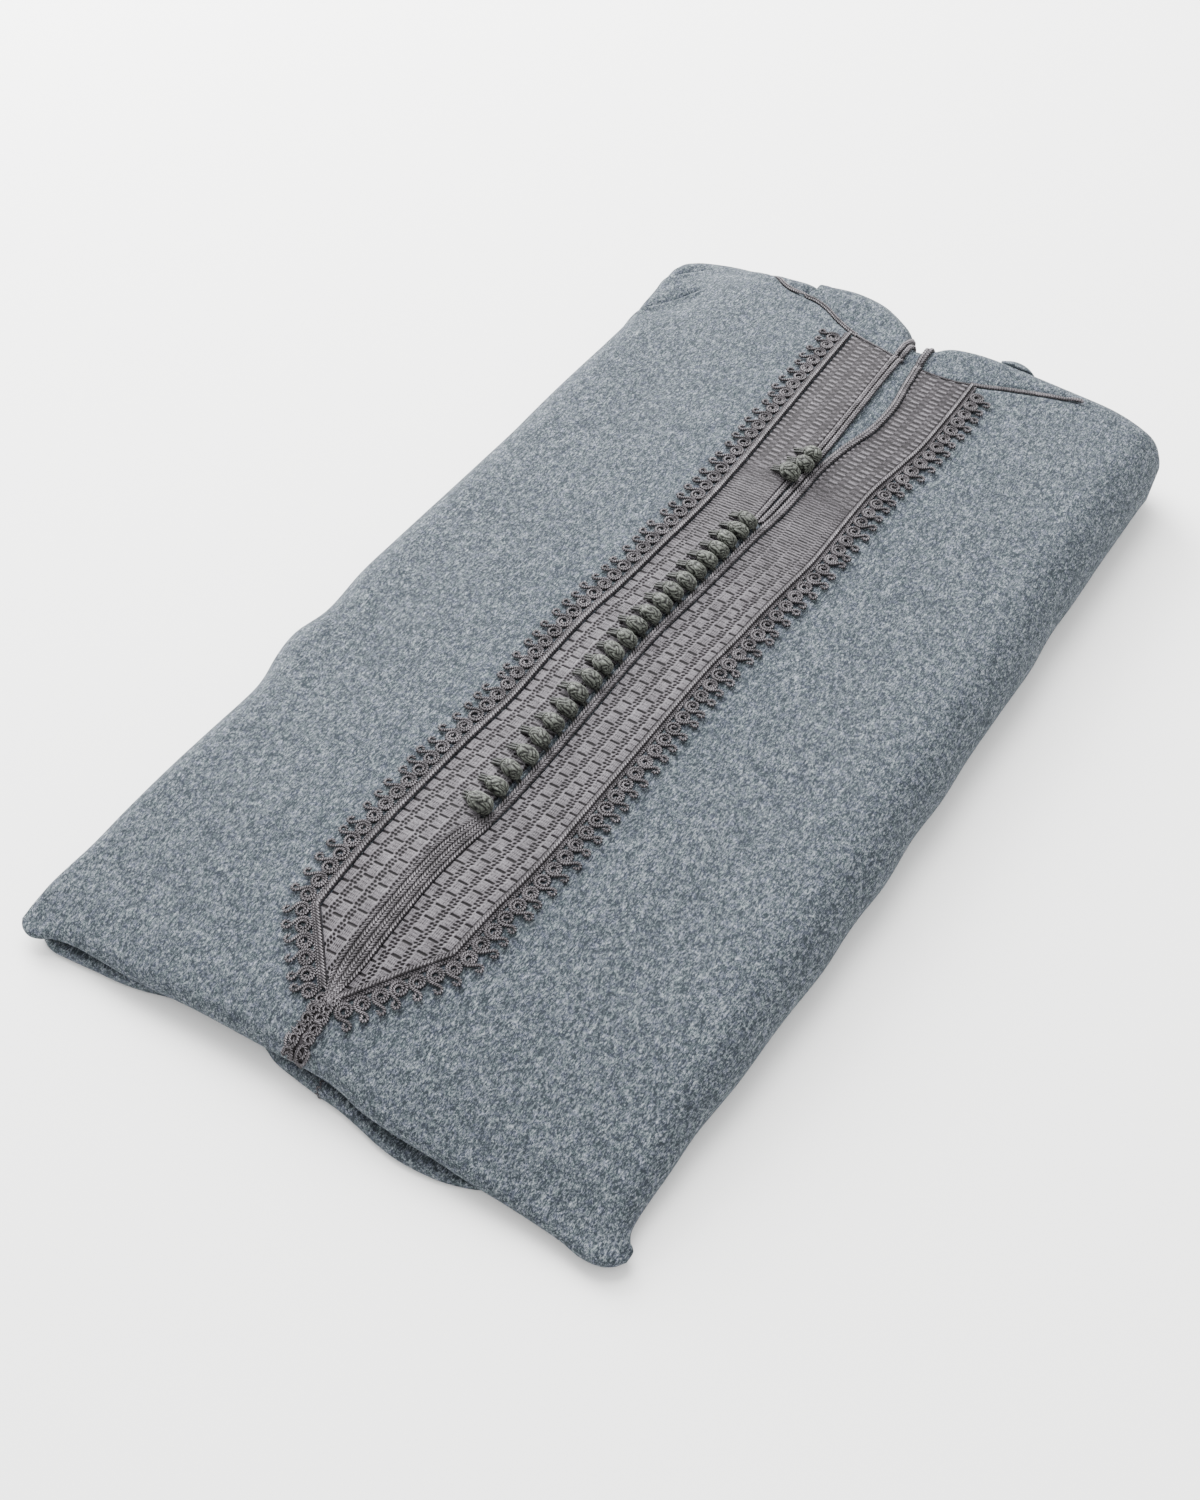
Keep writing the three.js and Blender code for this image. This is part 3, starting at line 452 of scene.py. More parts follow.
def plan(side, share, fraction, beyond):
    """Plan position of the cloth: side is -1 or 1, share runs from the slit to the packet's side, fraction
    from the fold to the neck seam, and beyond from the neck seam to the far edge, each from 0 to 1 and evenly
    between the lines that it joins."""
    left = side < 0
    seam_ends = NECK_SEAM["y"][0], NECK_SEAM["y"][-1]
    middle_y = FOLD_END + NECK_DEPTH * fraction
    side_y = FOLD_END + (np.where(left, *seam_ends) - FOLD_END) * fraction
    slit = np.where(left, read(PLASTRON, "slit_left", middle_y), read(PLASTRON, "slit_right", middle_y))
    flank = np.where(left, read(PACKET, "left", side_y), read(PACKET, "right", side_y))
    x = mix(slit, flank, share)
    y = mix(read(FOLD, "y", x), read(NECK_SEAM, "y", x), fraction)
    far_left = mix(SLIT_TOP[-1], FAR_EDGE["x"][0], share)
    far_right = mix(SLIT_TOP[1], FAR_EDGE["x"][-1], share)
    far_x = np.where(left, far_left, far_right)
    return mix(x, far_x, beyond), mix(y, read(FAR_EDGE, "y", far_x), beyond)


AT_FOLD, AT_SIDE, AT_FAR = 0, 1, 2  # regions of the packet's outline


def edge_form(x, y, region):
    """Mid height, radius and lowest height of the packet's edge at points of its outline. At the sides it
    goes softly from the fold's form to a half circle as high as the cloth, then to the far corner's form."""
    fold_mid = read(FOLD, "height", x)
    fold = np.stack([fold_mid, np.full_like(x, FOLD_RADIUS), fold_mid - FOLD_RADIUS + 0.4])
    keys = ("mid", "radius", "low")
    far = np.stack([read(FAR_EDGE, key, x) for key in keys])
    half = height(x, y) / 2
    flank = np.stack([half, half, np.zeros_like(x)])
    corner = np.stack([np.where(x < 0, FAR_EDGE[key][0], FAR_EDGE[key][-1]) for key in keys])
    corner_y = np.where(x < 0, FAR_EDGE["y"][0], FAR_EDGE["y"][-1])
    near_fold = ease((y - FOLD_END) / FOLD_REST)
    start = np.where(x < 0, CORNER_START[-1], CORNER_START[1])
    near_corner = ease((y - start) / (corner_y - start) * np.where(x < 0, LEFT_CORNER_PACE, 1))
    side = mix(mix(fold, flank, near_fold), corner, near_corner)
    return np.where(region == AT_FOLD, fold, np.where(region == AT_SIDE, side, far))


def outline_indices(rows, columns):
    """Row, column and region of a grid's rim, anticlockwise from its first corner."""
    last_row, last_column = rows - 1, columns - 1
    up, back = np.arange(1, rows), np.arange(columns - 2, -1, -1)
    down = np.arange(rows - 2, 0, -1)
    r = np.concatenate([np.zeros(columns, int), up, np.full(columns - 1, last_row), down])
    c = np.concatenate([np.arange(columns), np.full(rows - 1, last_column), back, np.zeros(rows - 2, int)])
    region = np.repeat([AT_FOLD, AT_SIDE, AT_FAR, AT_SIDE], [columns, len(up), len(back), len(down)])
    return r, c, region


class Outline:
    """The packet's rim in plan, with the form of its edge, for rounding the cloth off near it."""

    def __init__(self, x, y, region):
        """Inward directions are a quarter turn from the rim's own, evened over a few neighbours."""
        self.x, self.y = x, y
        self.mid, self.radius, self.low = edge_form(x, y, region)
        step = np.stack([np.roll(x, -1) - np.roll(x, 1), np.roll(y, -1) - np.roll(y, 1)], -1)
        sideways = np.stack([-step[:, 1], step[:, 0]], -1)
        apart = np.hypot(x[:, None] - x[None], y[:, None] - y[None])
        self.inward = unit(np.exp(-((apart / CORNER_EVENING) ** 2)) @ sideways)

    def nearest(self, x, y):
        """Distance to the rim with its mid height and radius there, for every point, in batches."""
        result = np.empty((3, len(x)))
        dx, dy = np.roll(self.x, -1) - self.x, np.roll(self.y, -1) - self.y
        square = dx * dx + dy * dy
        batch = 2000
        for start in range(0, len(x), batch):
            part = slice(start, start + batch)
            px, py = x[part, None] - self.x, y[part, None] - self.y
            t = np.clip((px * dx + py * dy) / square, 0, 1)
            distance = (px - t * dx) ** 2 + (py - t * dy) ** 2
            best = np.argmin(distance, axis=1)
            rows = np.arange(len(best))
            share, after = t[rows, best], (best + 1) % len(self.x)
            result[0, part] = np.sqrt(distance[rows, best])
            result[1, part] = mix(self.mid[best], self.mid[after], share)
            result[2, part] = mix(self.radius[best], self.radius[after], share)
        return result

    def surface(self, x, y):
        """Height of the cloth: near the rim it rises from the edge's mid height to the full height on a
        quarter of an ellipse."""
        flat_x, flat_y = np.ravel(x).astype(float), np.ravel(y).astype(float)
        z = height(flat_x, flat_y) + seam_dips(flat_x, flat_y) - creases(flat_x, flat_y)
        rim = (np.abs(flat_x) > RIM_SIDE) | (flat_y > RIM_FAR) | (flat_y < RIM_FOLD)
        if rim.any():
            distance, mid, radius = self.nearest(flat_x[rim], flat_y[rim])
            inward = 1 - np.minimum(distance / radius, 1)
            z[rim] = mid + (z[rim] - mid) * np.sqrt(1 - inward * inward)
        return z.reshape(np.shape(x))


def rounded_steps(length, radius, step, turn=7):
    """Distances from an edge inwards: close at the edge, as equal angles of its rounding, then even."""
    start = radius * (1 - np.cos(np.radians(np.arange(0, 90, turn))))
    rest = max(int((length - start[-1]) / step), 1)
    return np.concatenate([start[:-1], np.linspace(start[-1], length, rest + 1)])


def finer(values, start):
    """Rising values, with one more halfway between neighbours past start."""
    halves = (values[1:] + values[:-1]) / 2
    return np.sort(np.concatenate([values, halves[halves > start]]))


def packet_grid(step):
    """Master grid of the outer cloth: points by row and column, and its outline. Rows and columns lie closer
    at the edges, and the sides and the neck have twice as many."""
    half, side_radius, finer_side = 140.0, 20, 0.8
    shares = 1 - rounded_steps(half, side_radius, step)[::-1] / half
    shares = np.unique(np.concatenate([shares, [LOBE_SHARE, HOOD_SHARE]]).round(5))
    shares = finer(shares, finer_side)
    fold_turn, finer_neck = 11, 0.87
    along = finer(rounded_steps(NECK_DEPTH, FOLD_RADIUS, step, fold_turn) / NECK_DEPTH, finer_neck)
    hood, far_radius, hood_step, far_turn = 30, 13, 1.6, 9
    far = 1 - rounded_steps(hood, far_radius, min(step, hood_step), far_turn)[::-1] / hood
    fraction = np.concatenate([along, np.ones(len(far) - 1)])[:, None]
    beyond = np.concatenate([np.zeros(len(along)), far[1:]])[:, None]
    side = np.concatenate([-np.ones(len(shares)), np.ones(len(shares))])[None]
    share = np.concatenate([shares[::-1], shares])[None]
    x, y = np.broadcast_arrays(*plan(side, share, fraction, beyond))
    r, c, region = outline_indices(*x.shape)
    outline = Outline(x[r, c], y[r, c], region)
    return {
        "points": np.stack([x, y, outline.surface(x, y)], -1),
        "rim": r * x.shape[1] + c,
        "rim_at": (r, c),
        "outline": outline,
        "neck_row": len(along) - 1,
        "slit_column": len(shares) - 1,
        "share": share[0],
    }


def turned_rows(grid, degrees, extra):
    """Rows below the rim: the cloth turns under along a quarter of an ellipse, then runs on by the lengths in
    extra, below the fold."""
    outline = grid["outline"]
    rim = grid["points"].reshape(-1, 3)[grid["rim"]]
    inward = np.concatenate([outline.inward, np.zeros((len(rim), 1))], 1)
    rows = []
    for angle in np.radians(degrees):
        row = rim + inward * (outline.radius * (1 - np.cos(angle)))[:, None]
        row[:, 2] = outline.mid - (outline.mid - outline.low) * np.sin(angle)
        rows.append(row)
    near_fold = 1 - ease((rim[:, 1] - FOLD_END - 4) / 20)
    for reach in extra:
        rows.append(rows[-1] + inward * (reach * mix(0.15, 1, near_fold))[:, None])
    return np.stack(rows)


def strip_faces(rows, columns, closed=False):
    """Quads between neighbouring rows of points; closed joins each row's end to its start."""
    r, c = np.meshgrid(np.arange(rows - 1), np.arange(columns - (0 if closed else 1)), indexing="ij")
    after = (c + 1) % columns
    quads = [r * columns + c, r * columns + after, (r + 1) * columns + after, (r + 1) * columns + c]
    return np.stack(quads, -1).reshape(-1, 4)


def cloth_cells(grid, degrees, extra):
    """All cells of the outer cloth with their points: top cells, then turned-under cells. Each cell has the
    row and column that it belongs to, and a turned-under one its ring, which is -1 on top."""
    rows, columns = grid["points"].shape[:2]
    row = np.repeat(np.arange(rows - 1), columns - 1)
    column = np.tile(np.arange(columns - 1), rows - 1)
    turned = turned_rows(grid, degrees, extra)
    size = len(grid["rim"])
    rings = rows * columns + np.arange(turned.size // 3).reshape(-1, size)
    rings = np.concatenate([grid["rim"][None], rings])
    above, below = rings[:-1], rings[1:]
    under = np.stack([above, below, np.roll(below, -1, 1), np.roll(above, -1, 1)], -1).reshape(-1, 4)
    r, c = grid["rim_at"]
    rim_row = np.minimum(np.minimum(r, np.roll(r, -1)), rows - 2)
    rim_column = np.minimum(np.minimum(c, np.roll(c, -1)), columns - 2)
    depth = len(below)
    return {
        "points": np.concatenate([grid["points"].reshape(-1, 3), turned.reshape(-1, 3)]),
        "faces": np.concatenate([strip_faces(rows, columns), under]),
        "row": np.concatenate([row, np.tile(rim_row, depth)]),
        "column": np.concatenate([column, np.tile(rim_column, depth)]),
        "ring": np.concatenate([np.full(len(row), -1), np.repeat(np.arange(depth), size)]),
    }


PACKET_STATE = {}


def packet():
    """The packet's fine grid and its cells, worked out once."""
    if not PACKET_STATE:
        grid = packet_grid(PACKET_STEP)
        PACKET_STATE.update(grid)
        PACKET_STATE["cells"] = cloth_cells(grid, TURN_ANGLES, RUN_ON)
    return PACKET_STATE


def on_cloth(x, y, lift):
    """Points on the cloth, moved out along its normal by lift, with the normals; the normal comes from the
    surface's height half a millimetre to each side."""
    surface = packet()["outline"].surface
    x, y = np.broadcast_arrays(np.asarray(x, float), np.asarray(y, float))
    reach = 0.5
    slope_x = (surface(x + reach, y) - surface(x - reach, y)) / (2 * reach)
    slope_y = (surface(x, y + reach) - surface(x, y - reach)) / (2 * reach)
    steepest = 3.0
    slope_x, slope_y = np.clip(slope_x, -steepest, steepest), np.clip(slope_y, -steepest, steepest)
    normals = unit(np.stack([-slope_x, -slope_y, np.ones_like(x)], -1))
    lift = np.broadcast_to(np.asarray(lift, float), x.shape)
    return np.stack([x, y, surface(x, y)], -1) + normals * lift[..., None], normals


# ---- making pieces ---------------------------------------------------------------------------------


def make_piece(node, points, faces, materials, thickness=0.0, marks=None, values=None):
    """A mesh piece at the origin, its place in its mesh, that rides on the body and stands for a CAD node.
    faces is a list of arrays, each of faces with one count of corners; marks is each array's material."""
    mesh = bpy.data.meshes.new("fine_" + node)
    faces = [np.atleast_2d(f) for f in faces]
    sizes = np.concatenate([np.full(len(f), f.shape[1]) for f in faces])
    corners = np.concatenate([f.ravel() for f in faces]).astype(np.int32)
    mesh.vertices.add(len(points))
    mesh.vertices.foreach_set("co", (np.asarray(points) * MM).astype(np.float32).ravel())
    mesh.loops.add(len(corners))
    mesh.loops.foreach_set("vertex_index", corners)
    mesh.polygons.add(len(sizes))
    mesh.polygons.foreach_set("loop_start", (np.cumsum(sizes) - sizes).astype(np.int32))
    mesh.polygons.foreach_set("use_smooth", np.ones(len(sizes), bool))
    if marks is not None:
        shades = np.concatenate([np.full(len(f), mark) for f, mark in zip(faces, marks)])
        mesh.polygons.foreach_set("material_index", shades.astype(np.int32))
    for name in [materials] if isinstance(materials, str) else materials:
        mesh.materials.append(bpy.data.materials[name])
    mesh.update(calc_edges=True)
    # values become the mesh's gap value, which darkens the gaps of the weave and of the knots in their
    # materials, partly as painted shade.
    if values is not None:
        layer = mesh.attributes.new("gap_shade", "FLOAT", "POINT")
        layer.data.foreach_set("value", np.asarray(values, np.float32).ravel())
    piece = bpy.data.objects.new("fine_" + node, mesh)
    bpy.context.scene.collection.objects.link(piece)
    if thickness:
        wall = piece.modifiers.new("wall", "SOLIDIFY")
        wall.thickness = thickness * MM
        wall.offset = -1
    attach(piece, BODY)
    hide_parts(node)
    return piece


def cloth_piece(node, keep):
    """A piece of the outer cloth from the cells that it takes."""
    cells = packet()["cells"]
    used, corners = np.unique(cells["faces"][keep], return_inverse=True)
    sizes = bpy.context.scene.djellaba_sizes
    faces = [corners.reshape(-1, 4)]
    piece = make_piece(node, cells["points"][used], faces, "wool melton", thickness=sizes.wool / MM)
    return piece


def path_frames(points, normals):
    """Tangent, sideways and normal at each point of a path, from the neighbouring points."""
    tangent = unit(np.gradient(points, axis=0))
    sideways = unit(np.cross(normals, tangent))
    return tangent, sideways, unit(np.cross(tangent, sideways))


def even_path(points, step):
    """A path read again at even distances along itself; distances use its first two or three columns."""
    width = 2 if points.shape[1] in (2, 4) else 3
    steps = np.linalg.norm(np.diff(points[:, :width], axis=0), axis=1)
    length = np.concatenate([[0], np.cumsum(steps)])
    count = max(int(round(length[-1] / step)), 2)
    at = np.linspace(0, length[-1], count + 1)
    return np.stack([np.interp(at, length, column) for column in points.T], -1)


STITCH_SIDES = 5
# The dark core is partly a darker yarn and partly painted shade in the gaps between the stitches.
YARN, CORE_AND_SHADE = 0, 1  # a cord's two materials: its yarns and the dark core under them
CORD_LAY = 0.3  # gap under a cord that lies on the cloth
PATH_STEP = 0.8  # spacing of the points along a cord's path


def stitches(centres, along, sideways, up, length, width, thick):
    """Many leaf-shaped stitches of twisted yarn. Each leaf is three rings of five points between two tips,
    with its long axis along, its width sideways and its height up: 30 triangles."""
    angle = 2 * np.pi * np.arange(STITCH_SIDES) / STITCH_SIDES
    ring = np.stack([0 * angle, np.cos(angle), np.sin(angle)], -1)
    place, width_there = np.array([-0.34, 0.0, 0.34]), np.array([0.38, 0.5, 0.38])
    rings = ring[None] * width_there[:, None, None]
    rings[..., 0] = place[:, None]
    shape = np.concatenate([rings.reshape(-1, 3), [[-0.5, 0, 0], [0.5, 0, 0]]])
    quads = strip_faces(3, STITCH_SIDES, closed=True)[:, ::-1]
    around = np.arange(STITCH_SIDES)
    after = (around + 1) % STITCH_SIDES
    last, start, end = 2 * STITCH_SIDES, 3 * STITCH_SIDES, 3 * STITCH_SIDES + 1
    near_tip = np.stack([0 * around + start, after, around], -1)
    far_tip = np.stack([0 * around + end, last + around, last + after], -1)
    tips = np.concatenate([near_tip, far_tip])
    scale = np.stack(np.broadcast_arrays(length, width, thick), -1).reshape(-1, 1, 3)
    axes = np.stack([along, sideways, up], -2)
    leaves = np.broadcast_to(shape[None] * scale, (len(centres), *shape.shape))
    points = centres[:, None] + np.einsum("mks,msx->mkx", leaves, axes)
    offset = (np.arange(len(centres)) * len(shape))[:, None, None]
    faces = [(quads[None] + offset).reshape(-1, 4), (tips[None] + offset).reshape(-1, 3)]
    return points.reshape(-1, 3), faces, YARN


def rope(points, normals, width, pitch, slant, thick, offset=0.0, phase=0.0, plump=1.0):
    """A row of stitches that slant across a path, as the yarns of a twisted cord or half a plait do."""
    even = even_path(np.concatenate([points, normals], 1), pitch)
    centres = even[:, :3]
    tangent, sideways, up = path_frames(centres, unit(even[:, 3:]))
    angle = math.radians(slant)
    along = tangent * math.cos(angle) + sideways * math.sin(angle)
    flattest, longest = 0.3, 3.2  # the least slant counted, and the longest stitch in pitches
    length = min(width / max(math.sin(abs(angle)), flattest), pitch * longest)
    across = unit(np.cross(up, along))
    centres = centres + sideways * offset + tangent * phase
    return stitches(centres, along, across, up, length, pitch * abs(math.sin(angle)) * plump, thick)


def tube(points, normals, radius, sides, flat=1.0):
    """A tube along a path: circles in each point's sideways and normal plane, closed by its end caps. radius
    is one value or one for each point, and flat is the circles' height as a share of their width."""
    _, sideways, up = path_frames(points, normals)
    angle = 2 * np.pi * np.arange(sides) / sides
    ring = np.cos(angle)[None, :, None] * sideways[:, None]
    ring = ring + flat * np.sin(angle)[None, :, None] * up[:, None]
    body = points[:, None] + ring * np.broadcast_to(np.asarray(radius, float), (len(points),))[:, None, None]
    end = (len(points) - 1) * sides
    caps = np.stack([np.arange(sides), end + np.arange(sides)[::-1]])
    # Every tube takes the dark core's material, which is partly painted shade.
    return body.reshape(-1, 3), [strip_faces(len(points), sides, closed=True)[:, ::-1], caps], CORE_AND_SHADE


def joined(parts):
    """One mesh from several shapes: their points, their arrays of faces and each array's material."""
    points, faces, marks, start = [], [], [], 0
    for part_points, part_faces, mark in parts:
        points.append(part_points)
        faces += [f + start for f in part_faces]
        marks += [mark] * len(part_faces)
        start += len(part_points)
    return np.concatenate(points), faces, marks


def cord_piece(node, parts):
    """A piece made of rows of yarn and the dark cores under them; the cores' near-black is partly a darker
    yarn and partly painted shade between the stitches.
    """
    points, faces, marks = joined(parts)
    make_piece(node, points, faces, ("twisted cord", "cord core and painted shade"), marks=marks)


# ---- materials -------------------------------------------------------------------------------------


def add(tree, kind, inputs=None, stops=None, **settings):
    """Adds one node. An input is a value, a socket, or a node that stands for its first output; stops are a
    colour ramp's places and colours, each in sRGB hex or linear."""
    made = tree.nodes.new(kind)
    for key, value in settings.items():
        setattr(made, key, value)
    for key, value in (inputs or {}).items():
        if isinstance(value, bpy.types.Node):
            value = value.outputs[0]
        if isinstance(value, bpy.types.NodeSocket):
            tree.links.new(value, made.inputs[key])
        else:
            made.inputs[key].default_value = value
    if stops:
        points = made.color_ramp.elements
        while len(points) < len(stops):
            points.new(0.5)
        for point, (position, colour) in zip(points, stops):
            point.position = position
            point.color = linear(colour) if isinstance(colour, str) else colour
    return made


def deeper(colour, share):
    """A colour with a share of its light."""
    return (*(share * c for c in colour[:3]), 1.0)


def start_material(name, **sockets):
    """A material with its Principled shader; what is the same all over is set on the shader's own sockets."""
    material = bpy.data.materials.new(name)
    material.use_nodes = True
    tree = material.node_tree
    tree.nodes.clear()
    values = {key.replace("_", " "): value for key, value in sockets.items()}
    shader = add(tree, "ShaderNodeBsdfPrincipled", values)
    add(tree, "ShaderNodeOutputMaterial", {"Surface": shader})
    return tree, shader


def grain(size):
    """Scale of a noise whose grain is size millimetres across."""
    return 1 / (size * MM)


def wool_melton(colours):
    """Fulled wool melton: dyed and undyed fibres felted together, so the eye sees a fine grey-blue heather
    with light and dark flecks of 1 to 4 mm, a matt face and a short nap that catches light at its edges. The
    fibres are drawn 0.75 mm across, where real ones have 0.03 mm, so that they show."""
    tree, shader = start_material("wool melton", Roughness=1.0, Specular_IOR_Level=0.05, Sheen_Weight=0.08)
    shader.inputs["Sheen Tint"].default_value = linear("#C4CCD2")
    shader.inputs["Sheen Roughness"].default_value = 0.55
    place = add(tree, "ShaderNodeTexCoord").outputs["Object"]
    fleck = {"Vector": place, "Scale": grain(1.15), "Detail": 5, "Roughness": 0.85}
    fleck = add(tree, "ShaderNodeTexNoise", fleck)
    clump = {"Vector": place, "Scale": grain(3.6), "Detail": 2, "Roughness": 0.6}
    clump = add(tree, "ShaderNodeTexNoise", clump)
    mixed = add(tree, "ShaderNodeMath", {0: fleck, 1: 0.35}, operation="MULTIPLY")
    mixed = add(tree, "ShaderNodeMath", {0: clump, 1: 0.1, 2: mixed}, operation="MULTIPLY_ADD")
    for turn in (0.6, -0.8):
        turned = {"Vector": place, "Rotation": (0.3, 0.2, turn), "Scale": (1, 0.3, 1)}
        turned = add(tree, "ShaderNodeMapping", turned)
        fibre = {"Vector": turned, "Scale": grain(0.75), "Detail": 2, "Distortion": 1.5}
        fibre = add(tree, "ShaderNodeTexNoise", fibre)
        mixed = add(tree, "ShaderNodeMath", {0: fibre, 1: 0.26, 2: mixed}, operation="MULTIPLY_ADD")
    stops = [
        (0.452, tuple(colours.wool_dark)),
        (0.5, tuple(colours.wool)),
        (0.546, tuple(colours.wool_light)),
        (0.595, "#959A9E"),
    ]
    shades = add(tree, "ShaderNodeValToRGB", {"Fac": mixed}, stops)
    tint = {"Vector": place, "Scale": grain(2.4), "Detail": 3, "Roughness": 0.7}
    tint = add(tree, "ShaderNodeTexNoise", tint)
    stops = [(0.35, "#8C86A6"), (0.5, "#808080"), (0.65, "#74887C")]
    hue = add(tree, "ShaderNodeValToRGB", {"Fac": tint}, stops)
    tinted = {"Factor": 0.35, 6: shades, 7: hue}
    tinted = add(tree, "ShaderNodeMix", tinted, data_type="RGBA", blend_type="OVERLAY")
    tree.links.new(tinted.outputs[2], shader.inputs["Base Color"])
    relief = add(tree, "ShaderNodeMath", {0: fibre, 1: 0.6, 2: fleck}, operation="MULTIPLY_ADD")
    bump = add(tree, "ShaderNodeBump", {"Strength": 0.45, "Distance": 0.7 * MM, "Height": relief})
    tree.links.new(bump.outputs[0], shader.inputs["Normal"])


def woven_galloon(colours):
    """Band woven of viscose: smooth mauve-grey floats over a dark ground. The mesh's gap value is 1 in the
    gaps between floats, where the dark ground shows with painted shade laid over it, and 0 on the floats,
    which have a low silky sheen. The threads' own grain is drawn 0.7 mm across, coarser than it is, so that
    it shows."""
    tree, shader = start_material("woven galloon", Roughness=0.65, Specular_IOR_Level=0.16)
    gap_shade = add(tree, "ShaderNodeAttribute", attribute_name="gap_shade").outputs["Fac"]
    place = add(tree, "ShaderNodeTexCoord").outputs["Object"]
    thread = {"Vector": place, "Scale": grain(0.7), "Detail": 3, "Roughness": 0.7}
    thread = add(tree, "ShaderNodeTexNoise", thread)
    wear = add(tree, "ShaderNodeTexNoise", {"Vector": place, "Scale": grain(9), "Detail": 2})
    mixed = add(tree, "ShaderNodeMath", {0: thread, 1: 0.4}, operation="MULTIPLY")
    mixed = add(tree, "ShaderNodeMath", {0: wear, 1: 0.14, 2: mixed}, operation="MULTIPLY_ADD")
    # The gaps pull the colour down to the dark ground: partly the ground threads, partly painted shade.
    mixed = add(tree, "ShaderNodeMath", {0: gap_shade, 1: -0.5, 2: mixed}, operation="MULTIPLY_ADD")
    stops = [
        (0.0, tuple(colours.ground)),
        (0.14, "#262326"),
        (0.28, tuple(colours.galloon)),
        (0.42, "#7D797E"),
    ]
    shades = add(tree, "ShaderNodeValToRGB", {"Fac": mixed}, stops)
    tree.links.new(shades.outputs[0], shader.inputs["Base Color"])
    bump = add(tree, "ShaderNodeBump", {"Strength": 0.5, "Distance": 0.2 * MM, "Height": thread})
    tree.links.new(bump.outputs[0], shader.inputs["Normal"])


def viscose_cord(name, dark, middle, light):
    """Cord of twisted viscose: a low silky sheen on each yarn, paler where it is rubbed. On the knots it is
    darker in the gaps between yarns, where the mesh's gap value rises: painted shade between the strands. The
    other meshes have no gap value. The yarns' grain is drawn 0.8 mm across, coarser than it is, so that it
    shows."""
    tree, shader = start_material(name, Roughness=0.6, Specular_IOR_Level=0.2, Sheen_Weight=0.03)
    place = add(tree, "ShaderNodeTexCoord").outputs["Object"]
    gap_shade = add(tree, "ShaderNodeAttribute", attribute_name="gap_shade").outputs["Fac"]
    fine = {"Vector": place, "Scale": grain(0.8), "Detail": 3, "Roughness": 0.65}
    fine = add(tree, "ShaderNodeTexNoise", fine)
    slow = add(tree, "ShaderNodeTexNoise", {"Vector": place, "Scale": grain(7), "Detail": 2})
    mixed = add(tree, "ShaderNodeMath", {0: fine, 1: 0.65}, operation="MULTIPLY")
    mixed = add(tree, "ShaderNodeMath", {0: slow, 1: 0.35, 2: mixed}, operation="MULTIPLY_ADD")
    # Where the gap value rises the cord draws darker: painted shade between the strands.
    mixed = add(tree, "ShaderNodeMath", {0: gap_shade, 1: -0.5, 2: mixed}, operation="MULTIPLY_ADD")
    stops = [(0.1, "#0C0D0C"), (0.36, dark), (0.5, middle), (0.64, light)]
    shades = add(tree, "ShaderNodeValToRGB", {"Fac": mixed}, stops)
    tree.links.new(shades.outputs[0], shader.inputs["Base Color"])
    bump = add(tree, "ShaderNodeBump", {"Strength": 0.4, "Distance": 0.2 * MM, "Height": fine})
    tree.links.new(bump.outputs[0], shader.inputs["Normal"])


def make_materials():
    """All finishes. A second press of the button leaves them as they are."""
    if "wool melton" in bpy.data.materials:
        return
    colours = bpy.context.scene.djellaba_colours
    wool_melton(colours)
    woven_galloon(colours)
    cord, knot = tuple(colours.cord), tuple(colours.knot)
    viscose_cord("twisted cord", deeper(cord, 0.5), cord, "#757175")
    # Near-black core colours: partly a darker yarn, partly painted shade between the stitches.
    viscose_cord("cord core and painted shade", "#181618", "#242124", "#332F33")
    viscose_cord("knotted cord", deeper(knot, 0.45), knot, "#777B74")
    _, shader = start_material("painted board", Roughness=0.9, Specular_IOR_Level=0.1)
    shader.inputs["Base Color"].default_value = tuple(colours.floor)


# ---- the cloth -------------------------------------------------------------------------------------


def cell_sides():
    """For each cell of the outer cloth: whether it lies left or right of the slit, and its share of the way
    from the slit to the packet's side."""
    state = packet()
    column = state["cells"]["column"]
    shares = (state["share"][:-1] + state["share"][1:]) / 2
    return column < state["slit_column"], column > state["slit_column"], shares[column]


def build_fronts():
    """Left and right front: the outer cloth on each side of the slit, up to the neck seam and, past its ends,
    over the shoulders to the far edge, turned under all round."""
    left, right, shares = cell_sides()
    front = (packet()["cells"]["row"] < packet()["neck_row"]) | (shares > HOOD_SHARE)
    cloth_piece("front_left", front & left & ~corner_cells())
    cloth_piece("front_right", front & right)


def corner_cells():
    """The turned-under cells of the far left corner, where the sleeve and the shoulder show below the
    front."""
    cells = packet()["cells"]
    centre = cells["points"][cells["faces"]].mean(1)
    right_end, near_end = -96, 176
    return (cells["ring"] >= 0) & (centre[:, 0] < right_end) & (centre[:, 1] > near_end)


def wool_fold(node, points, thickness, turned=False):
    """A strip of wool from a grid of points. Its faces are turned over where the grid runs the other way."""
    faces = strip_faces(*points.shape[:2])
    faces = faces[:, ::-1] if turned else faces
    return make_piece(node, points.reshape(-1, 3), [faces], "wool melton", thickness=thickness)


